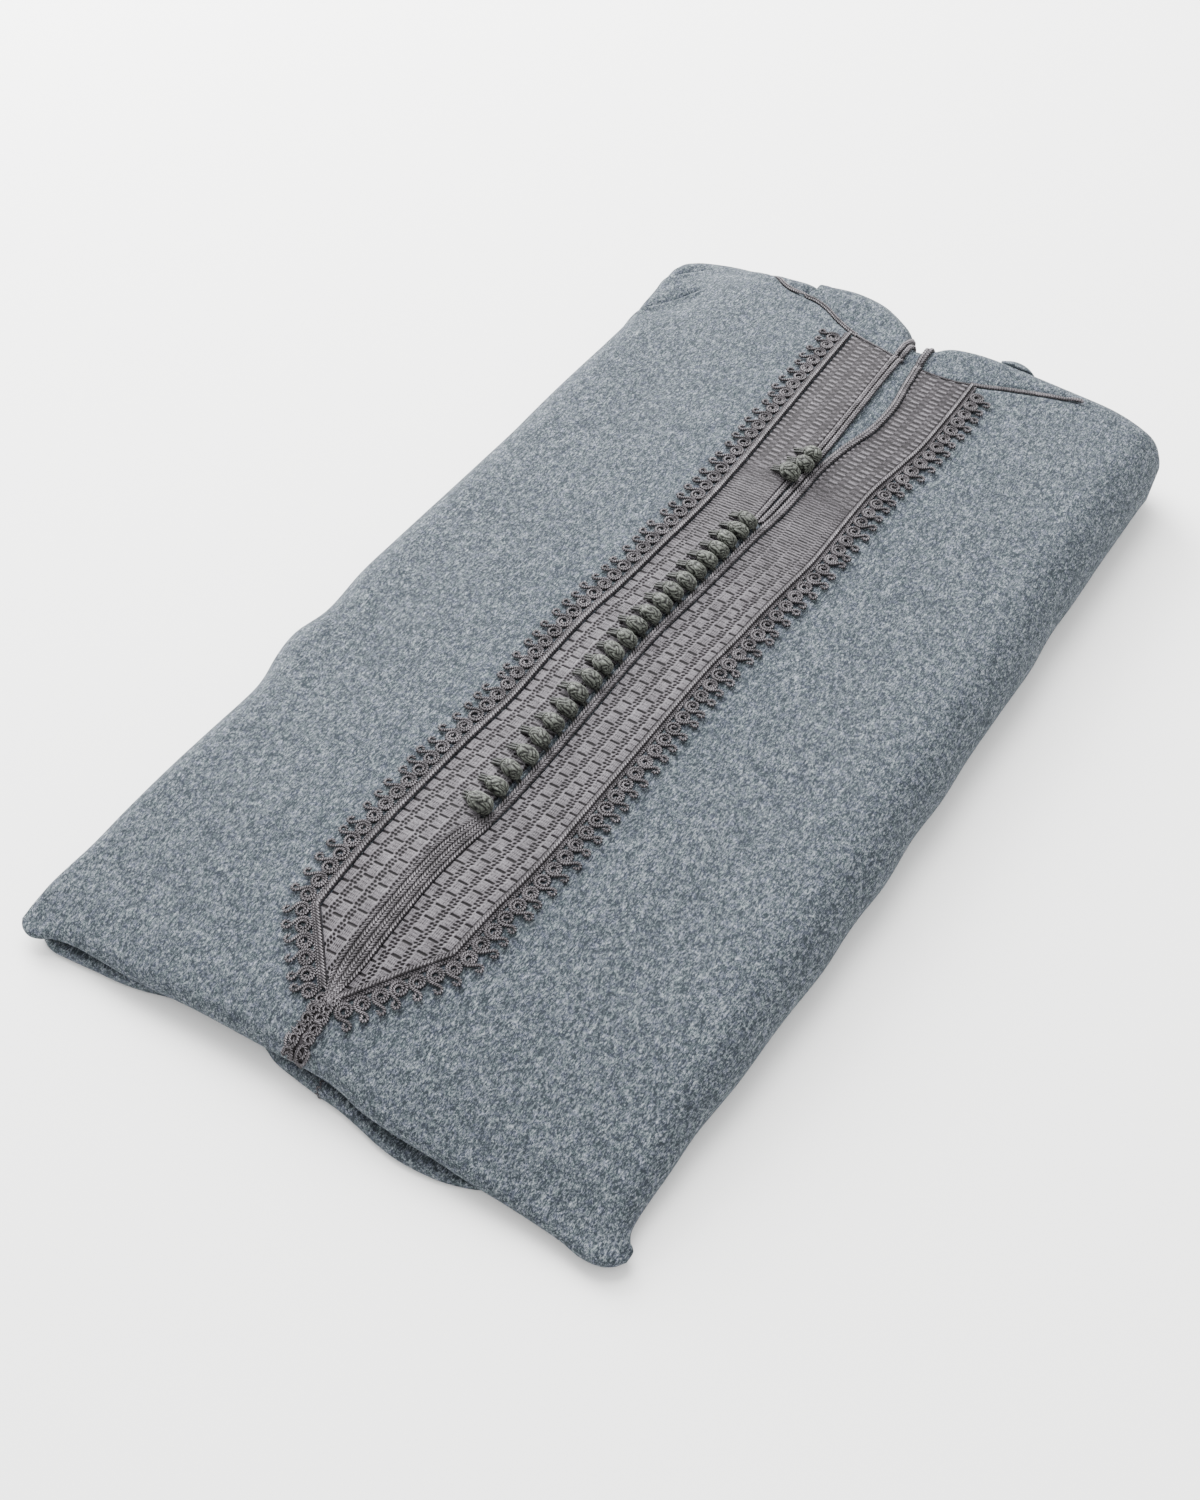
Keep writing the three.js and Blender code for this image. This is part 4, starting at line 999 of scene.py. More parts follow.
def build_sleeve():
    """The left sleeve's fold and the shoulder under it: the walls of the far left corner. The sleeve is the
    upper part of the wall. The shoulder follows the rim from its low edge down to the floor; it stands out by
    a sine over its height, less a smaller sine three times as fast, and both fade towards its ends."""
    cloth_piece("sleeve_left", corner_cells())
    outline = packet()["outline"]
    right_end, near_end = -92, 184
    line = (outline.x < right_end) & (outline.y > near_end)
    rim = np.stack([outline.x, outline.y, *outline.inward.T, outline.low], -1)[line]
    centre_x, centre_y = -60, 150  # the corner is walked round as seen from here
    rim = rim[np.argsort(np.arctan2(rim[:, 1] - centre_y, rim[:, 0] - centre_x))]
    down = np.linspace(0, 1, 22)[:, None]
    reach = np.sin(np.pi * np.linspace(0.02, 0.98, len(rim)))[None] ** 0.6
    bulge = 4.6 * np.sin(np.pi * down**0.8) - 0.8 * np.sin(3 * np.pi * down) - 2.5
    inset = 5.5 - bulge * reach
    x = rim[:, 0] + rim[:, 2] * inset
    y = rim[:, 1] + rim[:, 3] * inset
    over_rim, over_floor = 1.0, 0.6
    z = np.broadcast_to(mix(rim[:, 4] + over_rim, over_floor, down), x.shape)
    piece = wool_fold("shoulder_left", np.stack([x, y, z], -1), THIN_WALL, turned=True)


def build_hood():
    """The hood beyond the neck seam: left lobe, the layer under it, right lobe and its small turned edge. The
    turned edge swells up from the lobe by a sine along it times a sine across it."""
    left, right, shares = cell_sides()
    beyond = (packet()["cells"]["row"] >= packet()["neck_row"]) & (shares < HOOD_SHARE)
    left, right = beyond & left, beyond & right
    cloth_piece("hood_left", left & (shares < LOBE_SHARE))
    cloth_piece("hood_under_left", left & (shares > LOBE_SHARE))
    cloth_piece("hood_right", right)
    across, up = np.linspace(0, 1, 24)[:, None], np.linspace(0, 1, 16)[None]
    x = mix(50, 66, across) + 1.5 * up
    y = read(FAR_EDGE, "y", x) - 8.0 * (1 - up) * np.sin(np.pi * mix(0.15, 0.85, across))
    points, _ = on_cloth(x, y, 2.6 * np.sin(np.pi * across) ** 0.6 * np.sin(0.6 * np.pi * up) - 0.1)
    piece = wool_fold("hood_flap_right", points, THIN_WALL)


def build_back():
    """The inside of the back, seen through the open slit: a strip under the two fronts, raised in its middle
    by e to the minus squared distance."""
    y = np.linspace(84, 230, 90)[:, None]
    t = np.linspace(0, 1, 40)[None]
    hidden, depth = 11, 3.0  # how far it runs on under each front, and how deep it lies
    x = mix(read(PLASTRON, "slit_left", y) - hidden, read(PLASTRON, "slit_right", y) + hidden, t)
    swell = 1.3 * np.exp(-(((t - 0.5) / 0.2) ** 2)) * ease((y - 100) / 60)
    points, _ = on_cloth(x, np.broadcast_to(y, x.shape), -depth)
    points[..., 2] += swell
    piece = wool_fold("back_inside", points, THIN_WALL, turned=True)


def build_layers():
    """The hidden layers as one rounded solid: its top follows the cloth from below, and its sides step in and
    out as the rounded edges of five layers pressed on each other, by the root of a sine of the height."""
    grid = packet_grid(LAYER_GRID)
    cells = cloth_cells(grid, LAYER_ANGLES, [])
    points, faces = cells["points"], cells["faces"]
    corners = [points[faces[:, k]] for k in range(4)]
    area = np.cross(corners[2] - corners[0], corners[3] - corners[1])
    normals = np.zeros_like(points)
    for k in range(4):
        np.add.at(normals, faces[:, k], area)
    points = points - unit(normals) * UNDER_CLOTH
    size = len(grid["rim"])
    bottom = points[-size:]
    inward = np.concatenate([grid["outline"].inward, np.zeros((size, 1))], 1)
    # The sides lean in by 4 mm down to the floor, at the far edge by 2.5 mm, and at the fold they stand 12 mm
    # back, behind the skirt's lower fold.
    near_fold = 1 - ease((bottom[:, 1] - FOLD_END - 5) / 18)
    near_far = ease((bottom[:, 1] - 205) / 25)
    rings = []
    for k in range(1, LAYER_STEPS + 1):
        t = k / LAYER_STEPS
        groove = 1 - abs(math.sin(math.pi * LAYERS * t)) ** 0.5
        inset = mix(mix(1 + 3 * t, 1 + 1.5 * t, near_far), 12 * min(t * 6, 1), near_fold)
        wander = 0.8 * np.sin(bottom[:, 0] / 23 + 4 * t * LAYERS) * np.cos(bottom[:, 1] / 31 + 2 * t)
        ring = bottom + inward * (inset + 1.4 * groove + wander * t)[:, None]
        ring[:, 2] = bottom[:, 2] * (1 - t)
        rings.append(ring)
    start = len(points) - size
    side = strip_faces(len(rings) + 1, size, closed=True)[:, ::-1] + start
    points = np.concatenate([points, *rings, [[0, 0, 0]]])
    floor = len(points) - 1 - size
    around = np.arange(size)
    fan = np.stack([floor + (around + 1) % size, floor + around, 0 * around + len(points) - 1], -1)
    piece = make_piece("folded_layers", points, [faces, side, fan], "wool melton")


def build_lower_skirt():
    """The skirt's lower fold under the first: a doubled edge of cloth on the floor, left and right of the
    seam. Its section runs forward along the top, round a half circle and back along the floor."""
    back = FOLD_END + 18
    seam_gap, floor_gap = 0.15, 0.02
    columns, steps = 90, 8
    for node, start, end in (
        ("skirt_lower_left", LOWER_FOLD["x"][0], LOWER_SEAM - seam_gap),
        ("skirt_lower_right", LOWER_SEAM + seam_gap, LOWER_FOLD["x"][-1]),
    ):
        x = np.linspace(start, end, columns)[:, None]
        angle = np.radians(np.linspace(90, -90, 15))[None]
        radius = read(LOWER_FOLD, "height", x) / 2
        edge = read(LOWER_FOLD, "y", x)
        run = np.linspace(0, 1, steps)[None]
        top, under = mix(back, edge + radius, run[:, :-1]), mix(edge + radius, back, run[:, 1:])
        y = np.concatenate([top, edge + radius * (1 - np.cos(angle)), under], 1)
        flat = np.ones((columns, steps - 1))
        z = np.concatenate([2 * radius * flat, radius * (1 + np.sin(angle)), 0 * flat], 1)
        points = np.stack([np.broadcast_to(x, y.shape), y, z + floor_gap], -1)
        piece = wool_fold(node, points, LOWER_WALL)


# ---- woven bands -----------------------------------------------------------------------------------

REPEAT_ACROSS = 7.9  # a smooth panel and the dots beside it
PANEL = 4.9  # width of a panel
EDGE_PANEL = 3.6  # and of the one along the outer edge
REPEAT_ALONG = 6.9  # four rows from dash to dash
ROW = REPEAT_ALONG / 4
ROW_SLOPE = 0.114  # how much the rows step down across the band
THREAD = 0.86  # spacing of the warp threads
DASH = 0.46  # half the height of a dash
DOT = 0.6  # radius of a dot
BAND_TOP = 216.0  # y up to which the band's edges are read
BAND_ROWS, BAND_COLUMNS = 1000, 58
GAP_DEPTH = 0.55  # how deep the weave's gaps are pressed
HEM_DEPTH = 0.75  # how far the band's edges turn down


def outer_edge(side, y):
    """Outer edge of a woven band: the plastron's edge, then the straight cut to the point."""
    (x0, y0), (x1, y1) = POINT[side]["shoulder"], POINT[side]["tip"]
    column = "outer_left" if side < 0 else "outer_right"
    return np.where(y >= y0, read(PLASTRON, column, y), mix(x0, x1, (y - y0) / (y1 - y0)))


def soft_box(distance, half, soft):
    """1 inside a half width, 0 outside it, with soft edges."""
    return 1 / (1 + np.exp(np.clip((np.abs(distance) - half) / (soft * 0.25), -30, 30)))


def weave(out, x, y, side, bold):
    """Depth of the weave's gaps from 0 to 1. out is the distance from the band's outer edge. In the panels
    lie a long dash every fourth row, a row of ticks between two dashes and faint warp threads; between the
    panels are two dots in each row, or one beside a dash. From panel to panel the rows step down to the
    right. Where bold falls to 0 the pattern gives way to fine ribs with dashes laid like bricks, and near the
    neck to pale bars on a darker ground."""
    place = (out - EDGE_PANEL) % REPEAT_ACROSS
    along = y + ROW_SLOPE * (x + side * (place - REPEAT_ACROSS / 2)) + 0.35 * np.sin(y / 23)
    dots_width = REPEAT_ACROSS - PANEL
    in_edge = out < EDGE_PANEL
    in_panel = np.where(in_edge, 1.0, soft_box(place - dots_width - PANEL / 2, PANEL / 2 - 0.2, 0.4))
    row = np.floor(along / ROW + 0.5) % 4
    up = ((along / ROW + 0.5) % 1 - 0.5) * ROW
    dash = in_panel * soft_box(up, DASH, 0.25) * (row == 0)
    thread = ((out % THREAD) / THREAD - 0.5) * THREAD
    ticks = in_panel * soft_box(thread, 0.17, 0.2) * soft_box(up, 0.55, 0.4)
    ticks = ticks * np.where(row == 2, 0.45, np.where(row == 0, 0.0, 0.28))
    lean = 0.35 * up - 0.18 * row
    pair = np.minimum(np.abs(place - 0.85 + lean), np.abs(place - 2.45 + lean))
    single = np.abs(place - 1.6 + lean)
    dot_across = np.where(row == 0, single, pair)
    dots = (~in_edge) * soft_box(np.hypot(dot_across, up * 1.1), DOT, 0.3)
    panel = np.floor((out - EDGE_PANEL) / REPEAT_ACROSS)
    near_neck = ease((y - 75) / 50)
    ribs = 0.75 * soft_box(up, 0.25, 0.4)
    odd = (row + panel) % 2 == 0
    thin = in_panel * soft_box(up, 0.34, 0.3) * odd
    pale = 0.36 + 0.2 * soft_box(up, 0.2, 0.4) - 0.56 * in_panel * soft_box(up, DASH, 0.4)
    dark = 0.2 + 0.75 * in_panel * soft_box(up - 0.3, 0.24, 0.4)
    upper = mix(np.maximum(ribs, thin), np.where(odd, pale, dark), near_neck)
    return mix(upper, np.maximum(np.maximum(dash, ticks), dots), bold)


def build_galloons():
    """The two woven bands: each row runs straight across between the band's edges. The weave's gaps are
    pressed into the mesh, and the rows sink slightly to the right."""
    v = np.linspace(0, 1, BAND_ROWS)[:, None]
    t = np.linspace(0, 1, BAND_COLUMNS)[None]
    for node, side, inner, outer, front in (
        ("galloon_left", -1, "inner_left", "outer_left", "front_left"),
        ("galloon_right", 1, "inner_right", "outer_right", "front_right"),
    ):
        tip = POINT[side]["tip"][1]
        rough = mix(tip, BAND_TOP, v)
        x = mix(read(PLASTRON, inner, rough), outer_edge(side, rough), t)
        top = read(NECK_SEAM, "y", x) - 2.2
        # Towards the neck the rows turn, so that the last one follows the seam.
        y = mix(rough, mix(tip, top, v), ease((rough - 120) / 90))
        out = (read(PLASTRON, outer, rough) - x) * side
        bold = 1 - ease((y - 10) / 90)
        # The same value darkens the gaps in the band's colour: dark ground threads with painted shade.
        gap_shade = weave(out, x, y, side, bold)
        puff = 0.07 * np.cos(2 * np.pi * out / THREAD) + 0.1 * np.cos(2 * np.pi * y / REPEAT_ALONG)
        hem = np.where(np.minimum(t, 1 - t) * (BAND_COLUMNS - 1) < 0.5, HEM_DEPTH, 0.0)
        points, _ = on_cloth(x, y, 1.0 + puff - GAP_DEPTH * gap_shade - hem)
        faces = strip_faces(BAND_ROWS, BAND_COLUMNS)
        if side < 0:
            faces = faces[:, ::-1]
        piece = make_piece(node, points.reshape(-1, 3), [faces], "woven galloon", values=gap_shade)


# ---- cords -----------------------------------------------------------------------------------------

ROW_TOP = 72.5  # y where the slit's left cords begin
BRAID_TOP = -143.0  # y where the centre braid begins, below the last button
BRAID_END = -243.5  # and where it ends, at the point


def lay_path(line, lift):
    """A plan path laid on the cloth: points and normals at even steps. Where it turns down over the far edge,
    or ends at the left shoulder, it is pressed into the nap."""
    x, y = even_path(line, PATH_STEP).T
    pressed = 1.5 * ease((y - read(FAR_EDGE, "y", x) + 7) / 6) + 1.2 * ease((-77 - x) / 7)
    return on_cloth(x, y, lift - pressed)


SLANT = 38  # degrees by which the yarns of a twisted cord or a plait lean


def plait(line, width, pitch, lift, thick):
    """Two columns of stitches that meet in a chevron, over a dark core that shows on both sides of them,
    partly a darker yarn and partly painted shade.
    """
    points, normals = lay_path(line, lift + thick * 0.5)
    sunk = points - normals * thick * 0.3
    return [
        rope(points, normals, width * 0.58, pitch, SLANT, thick, width * 0.24),
        rope(points, normals, width * 0.58, pitch, -SLANT, thick, -width * 0.24, pitch / 2),
        tube(sunk, normals, width * 0.5 + 0.12, 8, 0.42 * thick / width),
    ]


def twisted(line, width, pitch, lift, round_height=0.85):
    """One twisted cord: slanting stitches over a dark core that shows on both sides of them, partly a darker
    yarn and partly painted shade.
    """
    points, normals = lay_path(line, lift + width * 0.5 * round_height)
    return [
        rope(points, normals, width, pitch, SLANT, width * round_height),
        tube(points - normals * width * 0.2, normals, width * 0.5 + 0.1, 6, 0.5 * round_height),
    ]


def edge_path(side, offset):
    """Plan path beside the outer edge of a band at a distance from it, from the neck to the point's tip, with
    the direction away from the band, which is evened over a few neighbours so that it turns softly."""
    neck_y = float(read(NECK_SEAM, "y", outer_edge(side, 214.0))) - 2.5
    y = np.linspace(neck_y, POINT[side]["tip"][1], 900)
    line = even_path(np.stack([outer_edge(side, y), y], -1), PATH_STEP)
    away = unit(np.stack([np.gradient(line[:, 1]), -np.gradient(line[:, 0])], -1)) * -side
    even = np.hanning(13) / np.hanning(13).sum()
    away = unit(np.stack([np.convolve(np.pad(column, 6, "edge"), even, "valid") for column in away.T], -1))
    return line + away * offset, away


def build_outer_cords():
    """Along the outer edge of each band: a thick twisted cord and, outside it, a thin plait."""
    for node, side in (("outer_cords_left", -1), ("outer_cords_right", 1)):
        parts = twisted(edge_path(side, 1.35)[0], 2.5, 1.5, CORD_LAY + 0.5, 0.8)
        parts += plait(edge_path(side, 3.35)[0], 1.5, 1.3, CORD_LAY, 1.1)
        cord_piece(node, parts)


COIL = 3.3  # radius of a coil of the scroll trim, to the middle of its cord
COIL_GAP = 4.4  # from the band's edge to the coils, which leaves room for the outer cords
COIL_PITCH = 7.5  # from coil to coil


def scroll_curve(turns, hook):
    """One curl of the scroll trim: a coil round the origin that opens over its turns, a tail, which is a
    cubic from the coil's end and slope to the hook's, and a small hook wound the other way, so that the cord
    draws an S."""
    leave = math.radians(-62)
    t = np.linspace(0, 1, 90)
    angle = leave - 2 * math.pi * turns * (1 - t)
    radius = mix(0.8, COIL, t**0.8)
    coil = np.stack([radius * np.cos(angle), radius * np.sin(angle)], -1)
    hook_x, hook_y, hook_radius = 5.9, -1.8, 1.45
    t = np.linspace(0, 1, 24)[1:, None]
    start, end = coil[-1], np.array([hook_x, hook_y + hook_radius])
    start_slope = 4.5 * np.array([-math.sin(leave), math.cos(leave)])
    end_slope = np.array([4.0, 0.0])
    tail = (
        (2 * t**3 - 3 * t**2 + 1) * start
        + (t**3 - 2 * t**2 + t) * start_slope
        + (3 * t**2 - 2 * t**3) * end
        + (t**3 - t**2) * end_slope
    )
    t = np.linspace(0, 1, 40)[1:]
    angle = math.pi / 2 - 2 * math.pi * hook * t
    radius = mix(hook_radius, 1.2, t)
    loop = np.stack([hook_x + radius * np.cos(angle), hook_y + radius * np.sin(angle)], -1)
    return np.concatenate([coil, tail, loop])


def build_scrolls():
    """The curled cord outside each band: the same curl again and again, each a little different, its tail
    over the next."""
    random = np.random.default_rng(7)
    curves = [scroll_curve(turns, hook) for turns, hook in ((1.6, 0.62), (1.8, 0.7), (2.0, 0.55))]
    for node, side in (("scroll_trim_left", -1), ("scroll_trim_right", 1)):
        line, away = edge_path(side, COIL_GAP + COIL)
        even = even_path(np.concatenate([line, away], 1), COIL_PITCH)
        parts = []
        for k in range(1, len(even)):
            centre, out = even[k, :2], unit(even[k, 2:])
            lean = random.uniform(-0.25, 0.2)
            size = random.uniform(0.98, 1.12)
            ahead = np.array([-out[1], out[0]])
            x_axis = out * math.cos(lean) + ahead * math.sin(lean)
            y_axis = ahead * math.cos(lean) - out * math.sin(lean)
            curve = curves[random.integers(3)]
            curl = centre + size * (curve[:, :1] * x_axis + curve[:, 1:] * y_axis)
            curl = even_path(curl, 0.55)
            rise = 0.5 * ease(np.linspace(0, 1.6, len(curl))) + 0.2 * np.sin(np.linspace(0, 9, len(curl)))
            points, normals = on_cloth(curl[:, 0], curl[:, 1], CORD_LAY + 0.6 + rise)
            parts.append(rope(points, normals, 1.6, 1.0, 54, 1.4, plump=0.86))
            # The dark tube under each curl is partly painted shade between its stitches.
            parts.append(tube(points[::3] - normals[::3] * 0.3, normals[::3], 0.72, 5))
        cord_piece(node, parts)


def between_edges(a, b, share, y):
    """Plan path between two columns of the plastron."""
    return np.stack([mix(read(PLASTRON, a, y), read(PLASTRON, b, y), share), y], -1)


def build_slit_cords():
    """Cords along the slit, up over the neck's edge: two plaits beside the left front's edge from the first
    button up, and one broad plait beside the right front's edge that goes on down between the bands."""
    parts = []
    for share in (0.26, 0.76):
        x_end = mix(2.6, 9.3, share)
        y = np.linspace(ROW_TOP, float(read(FAR_EDGE, "y", x_end)) - 1.6, 300)
        parts += plait(between_edges("inner_left", "slit_left", share, y), 2.5, 1.5, 0.5, 1.8)
    cord_piece("inner_cords_left", parts)
    y = np.linspace(BRAID_TOP, float(read(FAR_EDGE, "y", 17.0)) - 1.2, 440)
    parts = plait(between_edges("slit_right", "inner_right", 0.5, y), 3.8, 1.7, 0.6, 2.1)
    cord_piece("inner_cords_right", parts)


def build_centre_braid():
    """Plaits side by side between the bands, below the last button, down to the point: six columns of
    stitches that lean left and right in turn and draw together at the tip, over a flat dark core that is
    partly painted shade between the stitches."""
    columns = 6
    y = np.linspace(BRAID_TOP, BRAID_END, 160)
    parts = []
    for k in range(columns):
        reach = y if k in (0, columns - 1) else y[:-1]  # the outer two end last, round the others
        line = between_edges("inner_left", "inner_right", (k + 0.5) / columns, reach)
        points, normals = lay_path(line, 1.5)
        slant = SLANT if k % 2 else -SLANT
        parts.append(rope(points, normals, 2.0, 1.5, slant, 1.7, phase=0.4 * (k % 3)))
    points, normals = lay_path(between_edges("inner_left", "inner_right", 0.5, y), 0.75)
    half = (read(PLASTRON, "inner_right", points[:, 1]) - read(PLASTRON, "inner_left", points[:, 1])) / 2
    parts.append(tube(points, normals, np.maximum(half, 1.0), 10, 0.1))
    cord_piece("centre_braid", parts)


def build_neck_braids():
    """Braids over the seam of the hood, out to the shoulders, and a thin cord from each to the slit."""
    for node, outer, inner, slit_end in (
        ("neck_braid_left", -84, -22, 2),
        ("neck_braid_right", 99, 48, 20.8),
    ):
        x = np.linspace(outer, inner, 120)
        parts = plait(np.stack([x, read(NECK_SEAM, "y", x)], -1), 2.3, 1.3, 0.9, 1.2)
        x = np.linspace(inner, slit_end, 60)
        parts += twisted(np.stack([x, read(NECK_SEAM, "y", x)], -1), 1.3, 1.0, 0.7)
        cord_piece(node, parts)


def rings(centres, normals, radius, thick, lean):
    """Small rings of cord that lie on the cloth, each with its own lean."""
    angle = np.linspace(0, 2 * np.pi, 17)
    parts = []
    for centre, up, tip in zip(centres, normals, lean):
        forward = unit(np.cross(up, [1.0, 0.0, 0.0]))
        sideways = np.cross(forward, up)
        circle = centre + radius * (np.cos(angle)[:, None] * forward + np.sin(angle)[:, None] * sideways)
        circle = circle + up * (np.cos(angle + tip) * 0.35)[:, None]
        ups = np.broadcast_to(up, circle.shape)
        parts.append(rope(circle, ups, thick * 2, 1.0, SLANT, thick * 1.7))
        parts.append(tube(circle, ups, thick * 0.7, 4))
    return parts


BAND_END = -266.5  # y where the centre band goes over the fold
BAND_PITCH = 4.3  # from curl to curl in each of its rows


def build_centre_band():
    """Two rows of curled cord from the point over the fold, each curl a coil that opens by one and a half
    turns, over a low dark core that is partly painted shade between the curls, and small rings on the lower
    fold's seam."""
    random = np.random.default_rng(11)
    t = np.linspace(0, 1, 60)
    angle = 2 * math.pi * 1.5 * t
    radius = mix(0.7, 2.8, t)
    coil = np.stack([radius * np.cos(angle), radius * np.sin(angle)], -1)
    parts = []
    for side in (-1, 1):
        for place in np.arange(BRAID_END + side * 1.1, BAND_END, -BAND_PITCH):
            x = float(read(PLASTRON, "slit_left", place)) + side * mix(2.4, 3.2, (-244 - place) / 22)
            turn = random.uniform(0, 2 * math.pi)
            cos, sin = math.cos(turn), math.sin(turn)
            axis = np.array([[cos, sin], [-sin * side, cos * side]])
            curl = np.array([x, place]) + random.uniform(0.92, 1.08) * coil @ axis
            rise = 0.6 + 0.9 * np.sin(2 * math.pi * t + turn) ** 2 * t
            points, normals = on_cloth(curl[:, 0], curl[:, 1], CORD_LAY + 0.5 + rise)
            parts.append(rope(points, normals, 1.6, 1.0, 40, 1.5))
            parts.append(tube(points[::3] - normals[::3] * 0.25, normals[::3], 0.65, 4))
    y = np.linspace(-241, BAND_END, 30)
    points, normals = lay_path(np.stack([read(PLASTRON, "slit_left", y), y], -1), 0.4)
    parts.append(tube(points, normals, 4.6, 12, 0.12))
    cord_piece("centre_band", parts)
    edge = float(read(LOWER_FOLD, "y", LOWER_SEAM))
    half = float(read(LOWER_FOLD, "height", LOWER_SEAM)) / 2
    angle = np.radians(np.linspace(95, -45, 4))
    sunk = half - 0.2
    middle = np.full(4, LOWER_SEAM)
    centres = np.stack([middle, edge + half - sunk * np.cos(angle), half + sunk * np.sin(angle)], -1)
    normals = np.stack([0 * angle, -np.cos(angle), np.sin(angle)], -1)
    cord_piece("centre_band_lower", rings(centres, normals, 0.9, 0.4, angle))


# ---- knotted buttons -------------------------------------------------------------------------------

# Centre, radius and half length of the buttons at the chest.
CHEST_BUTTONS = [(8.2, 124, 3.6, 4.6), (8.4, 115.5, 3.7, 4.8), (5.4, 106.4, 4.0, 5.4)]
ROW_BUTTONS = 23  # buttons in the row below them
BALL_ROWS, BALL_COLUMNS = 32, 64
STRANDS = 5  # doubled strands of each family round a ball


def knotted_ball(half, radius, turn):
    """A woven ball stretched along X. Two families of doubled strands run round it both ways at a slant,
    given by the sum and the difference of the angle round the axis and the angle along it; they rise where
    they pass over and sink where they pass under. The third value returned is a gap value for the gaps
    between strands, which the knotted cord material draws darker as painted shade."""
    along = np.radians(np.linspace(-84, 84, BALL_ROWS))[:, None]
    around = 2 * np.pi * np.arange(BALL_COLUMNS)[None] / BALL_COLUMNS
    wander = 0.16 * np.sin(3 * around + 4 * along + turn) + 0.12 * np.sin(5 * around - 3 * along + 2 * turn)
    first = (STRANDS * (around + wander) + 4.0 * along + turn) / (2 * np.pi)
    second = (STRANDS * (around - wander) - 4.0 * along - 2 * turn) / (2 * np.pi)
    over = (np.floor(first) + np.floor(second)) % 2
    strands = []
    for family in (first, second):
        doubled = (2 * family) % 1 - 0.5
        strands.append(np.sqrt(np.clip(1 - (2 * doubled) ** 2, 0, 1)))
    top = np.where(over == 0, strands[0], strands[1])
    swell = 1 + 0.24 * (top - 0.75)
    swell = np.broadcast_to(swell * (1 - 0.06 * np.abs(along) ** 3), (BALL_ROWS, BALL_COLUMNS))
    waist = radius * np.cos(along) ** 0.85
    ball = [half * np.sin(along) * swell, waist * np.cos(around) * swell, waist * np.sin(around) * swell]
    first_ring = np.arange(BALL_COLUMNS)
    caps = np.stack([first_ring[::-1], (BALL_ROWS - 1) * BALL_COLUMNS + first_ring])
    # Painted shade: the knot's colour is darkened where the strands pass under, by this gap value.
    gap_shades = 1.6 * (1 - np.broadcast_to(top, (BALL_ROWS, BALL_COLUMNS)))
    faces = [strip_faces(BALL_ROWS, BALL_COLUMNS, closed=True), caps]
    return np.stack(ball, -1).reshape(-1, 3), faces, gap_shades.ravel()


def button_places():
    """Centre, radius and half length of each button: three at the chest, then a row down to the braid, where
    they draw a little apart and the last is the largest."""
    row = []
    for k in range(ROW_BUTTONS):
        last = k == ROW_BUTTONS - 1
        swell, aside = (1.16, 0.5) if last else (1.0, 0.0)
        y = 67.5 - 7.9 * k - 0.067 * k * k - aside
        x = float(read(PLASTRON, "slit_left", y)) - 4.8 + 0.5 * math.sin(2.4 * k)
        row.append((x, y, min(3.2 + 0.04 * k, 3.5) * swell, 5.4 * swell))
    return CHEST_BUTTONS + row


def build_buttons():
    """Twenty-six knotted buttons, each a woven ball of cord with an eye at its left end, and the loops that
    hold them: three strands that leave each eye to the left and, in the row, two that reach the right
    front."""
    random = np.random.default_rng(5)
    surface = packet()["outline"].surface
    places = button_places()
    for k, (x, y, radius, half) in enumerate(places):
        ball, faces, gap_shades = knotted_ball(half, radius, random.uniform(0, 6))
        eye = np.linspace(0, 2 * np.pi, 12)
        ring = np.stack([0 * eye - half + 0.6, 1.5 * np.cos(eye), 1.5 * np.sin(eye)], -1)
        eye_points, eye_faces, _ = tube(ring, unit(ring * [0.0, 1.0, 1.0]), 0.7, 6)
        points, faces, _ = joined([(ball, faces, YARN), (eye_points, eye_faces, YARN)])
        # The eye takes a fixed gap value of 0.3, which draws it a little darker all over.
        gap_shades = np.concatenate([gap_shades, np.full(len(eye_points), 0.3)])
        turn, tilt = -0.16 + random.uniform(-0.14, 0.14), 0.072
        turned = points.copy()
        turned[:, 0] = points[:, 0] * math.cos(turn) - points[:, 1] * math.sin(turn)
        turned[:, 1] = points[:, 0] * math.sin(turn) + points[:, 1] * math.cos(turn)
        turned[:, 2] -= tilt * points[:, 0]
        ground = float(surface(np.array([x]), np.array([y]))[0])
        lift = 2.3 if k < len(CHEST_BUTTONS) else 1.5
        turned += [x, y, ground + lift + radius * 0.94]
        make_piece(f"button_{k + 1:02d}", turned, faces, "knotted cord", values=gap_shades)
    parts = []
    t = np.linspace(0, 1, 10)
    for x, y, radius, _ in places:
        for up in (0.85, 0.5, 0.1):
            reach = random.uniform(5.4, 7.6)
            points, normals = on_cloth(x - 4.2 - t * reach, y + radius * up + 0.9 * t, 2.8 * (1 - t) + 1.7)
            parts.append(tube(points, normals, mix(0.8, 0.55, t), 6))
    for x, y, radius, _ in places[len(CHEST_BUTTONS) :]:
        right = float(read(PLASTRON, "slit_left", y)) + 0.9
        for drop in (0.45, 0.85):
            line_y = y - radius * drop + 0.7 * np.sin(np.pi * t)
            points, normals = on_cloth(mix(x + 1.5, right, t), line_y, 1.9 + 1.6 * (1 - t) - 0.8 * t)
            parts.append(tube(points, normals, 0.62, 6))
    points, faces, _ = joined(parts)
    # The loops take a fixed gap value of 0.7, which draws them darker all over.
    make_piece("button_loops", points, faces, "knotted cord", values=np.full(len(points), 0.7))


# ---- studio ----------------------------------------------------------------------------------------

BOARD_HALF = 6.0  # the board and all that follows here is in metres
CAMERA_AZIMUTH, CAMERA_ELEVATION = 32.23, 47.3  # degrees: to the right of the fold's side, and up
CAMERA_DISTANCE = 0.9361
CAMERA_TARGET = (-0.0003, -0.0539, 0.0)
LENS, SENSOR = 50, 36  # millimetres


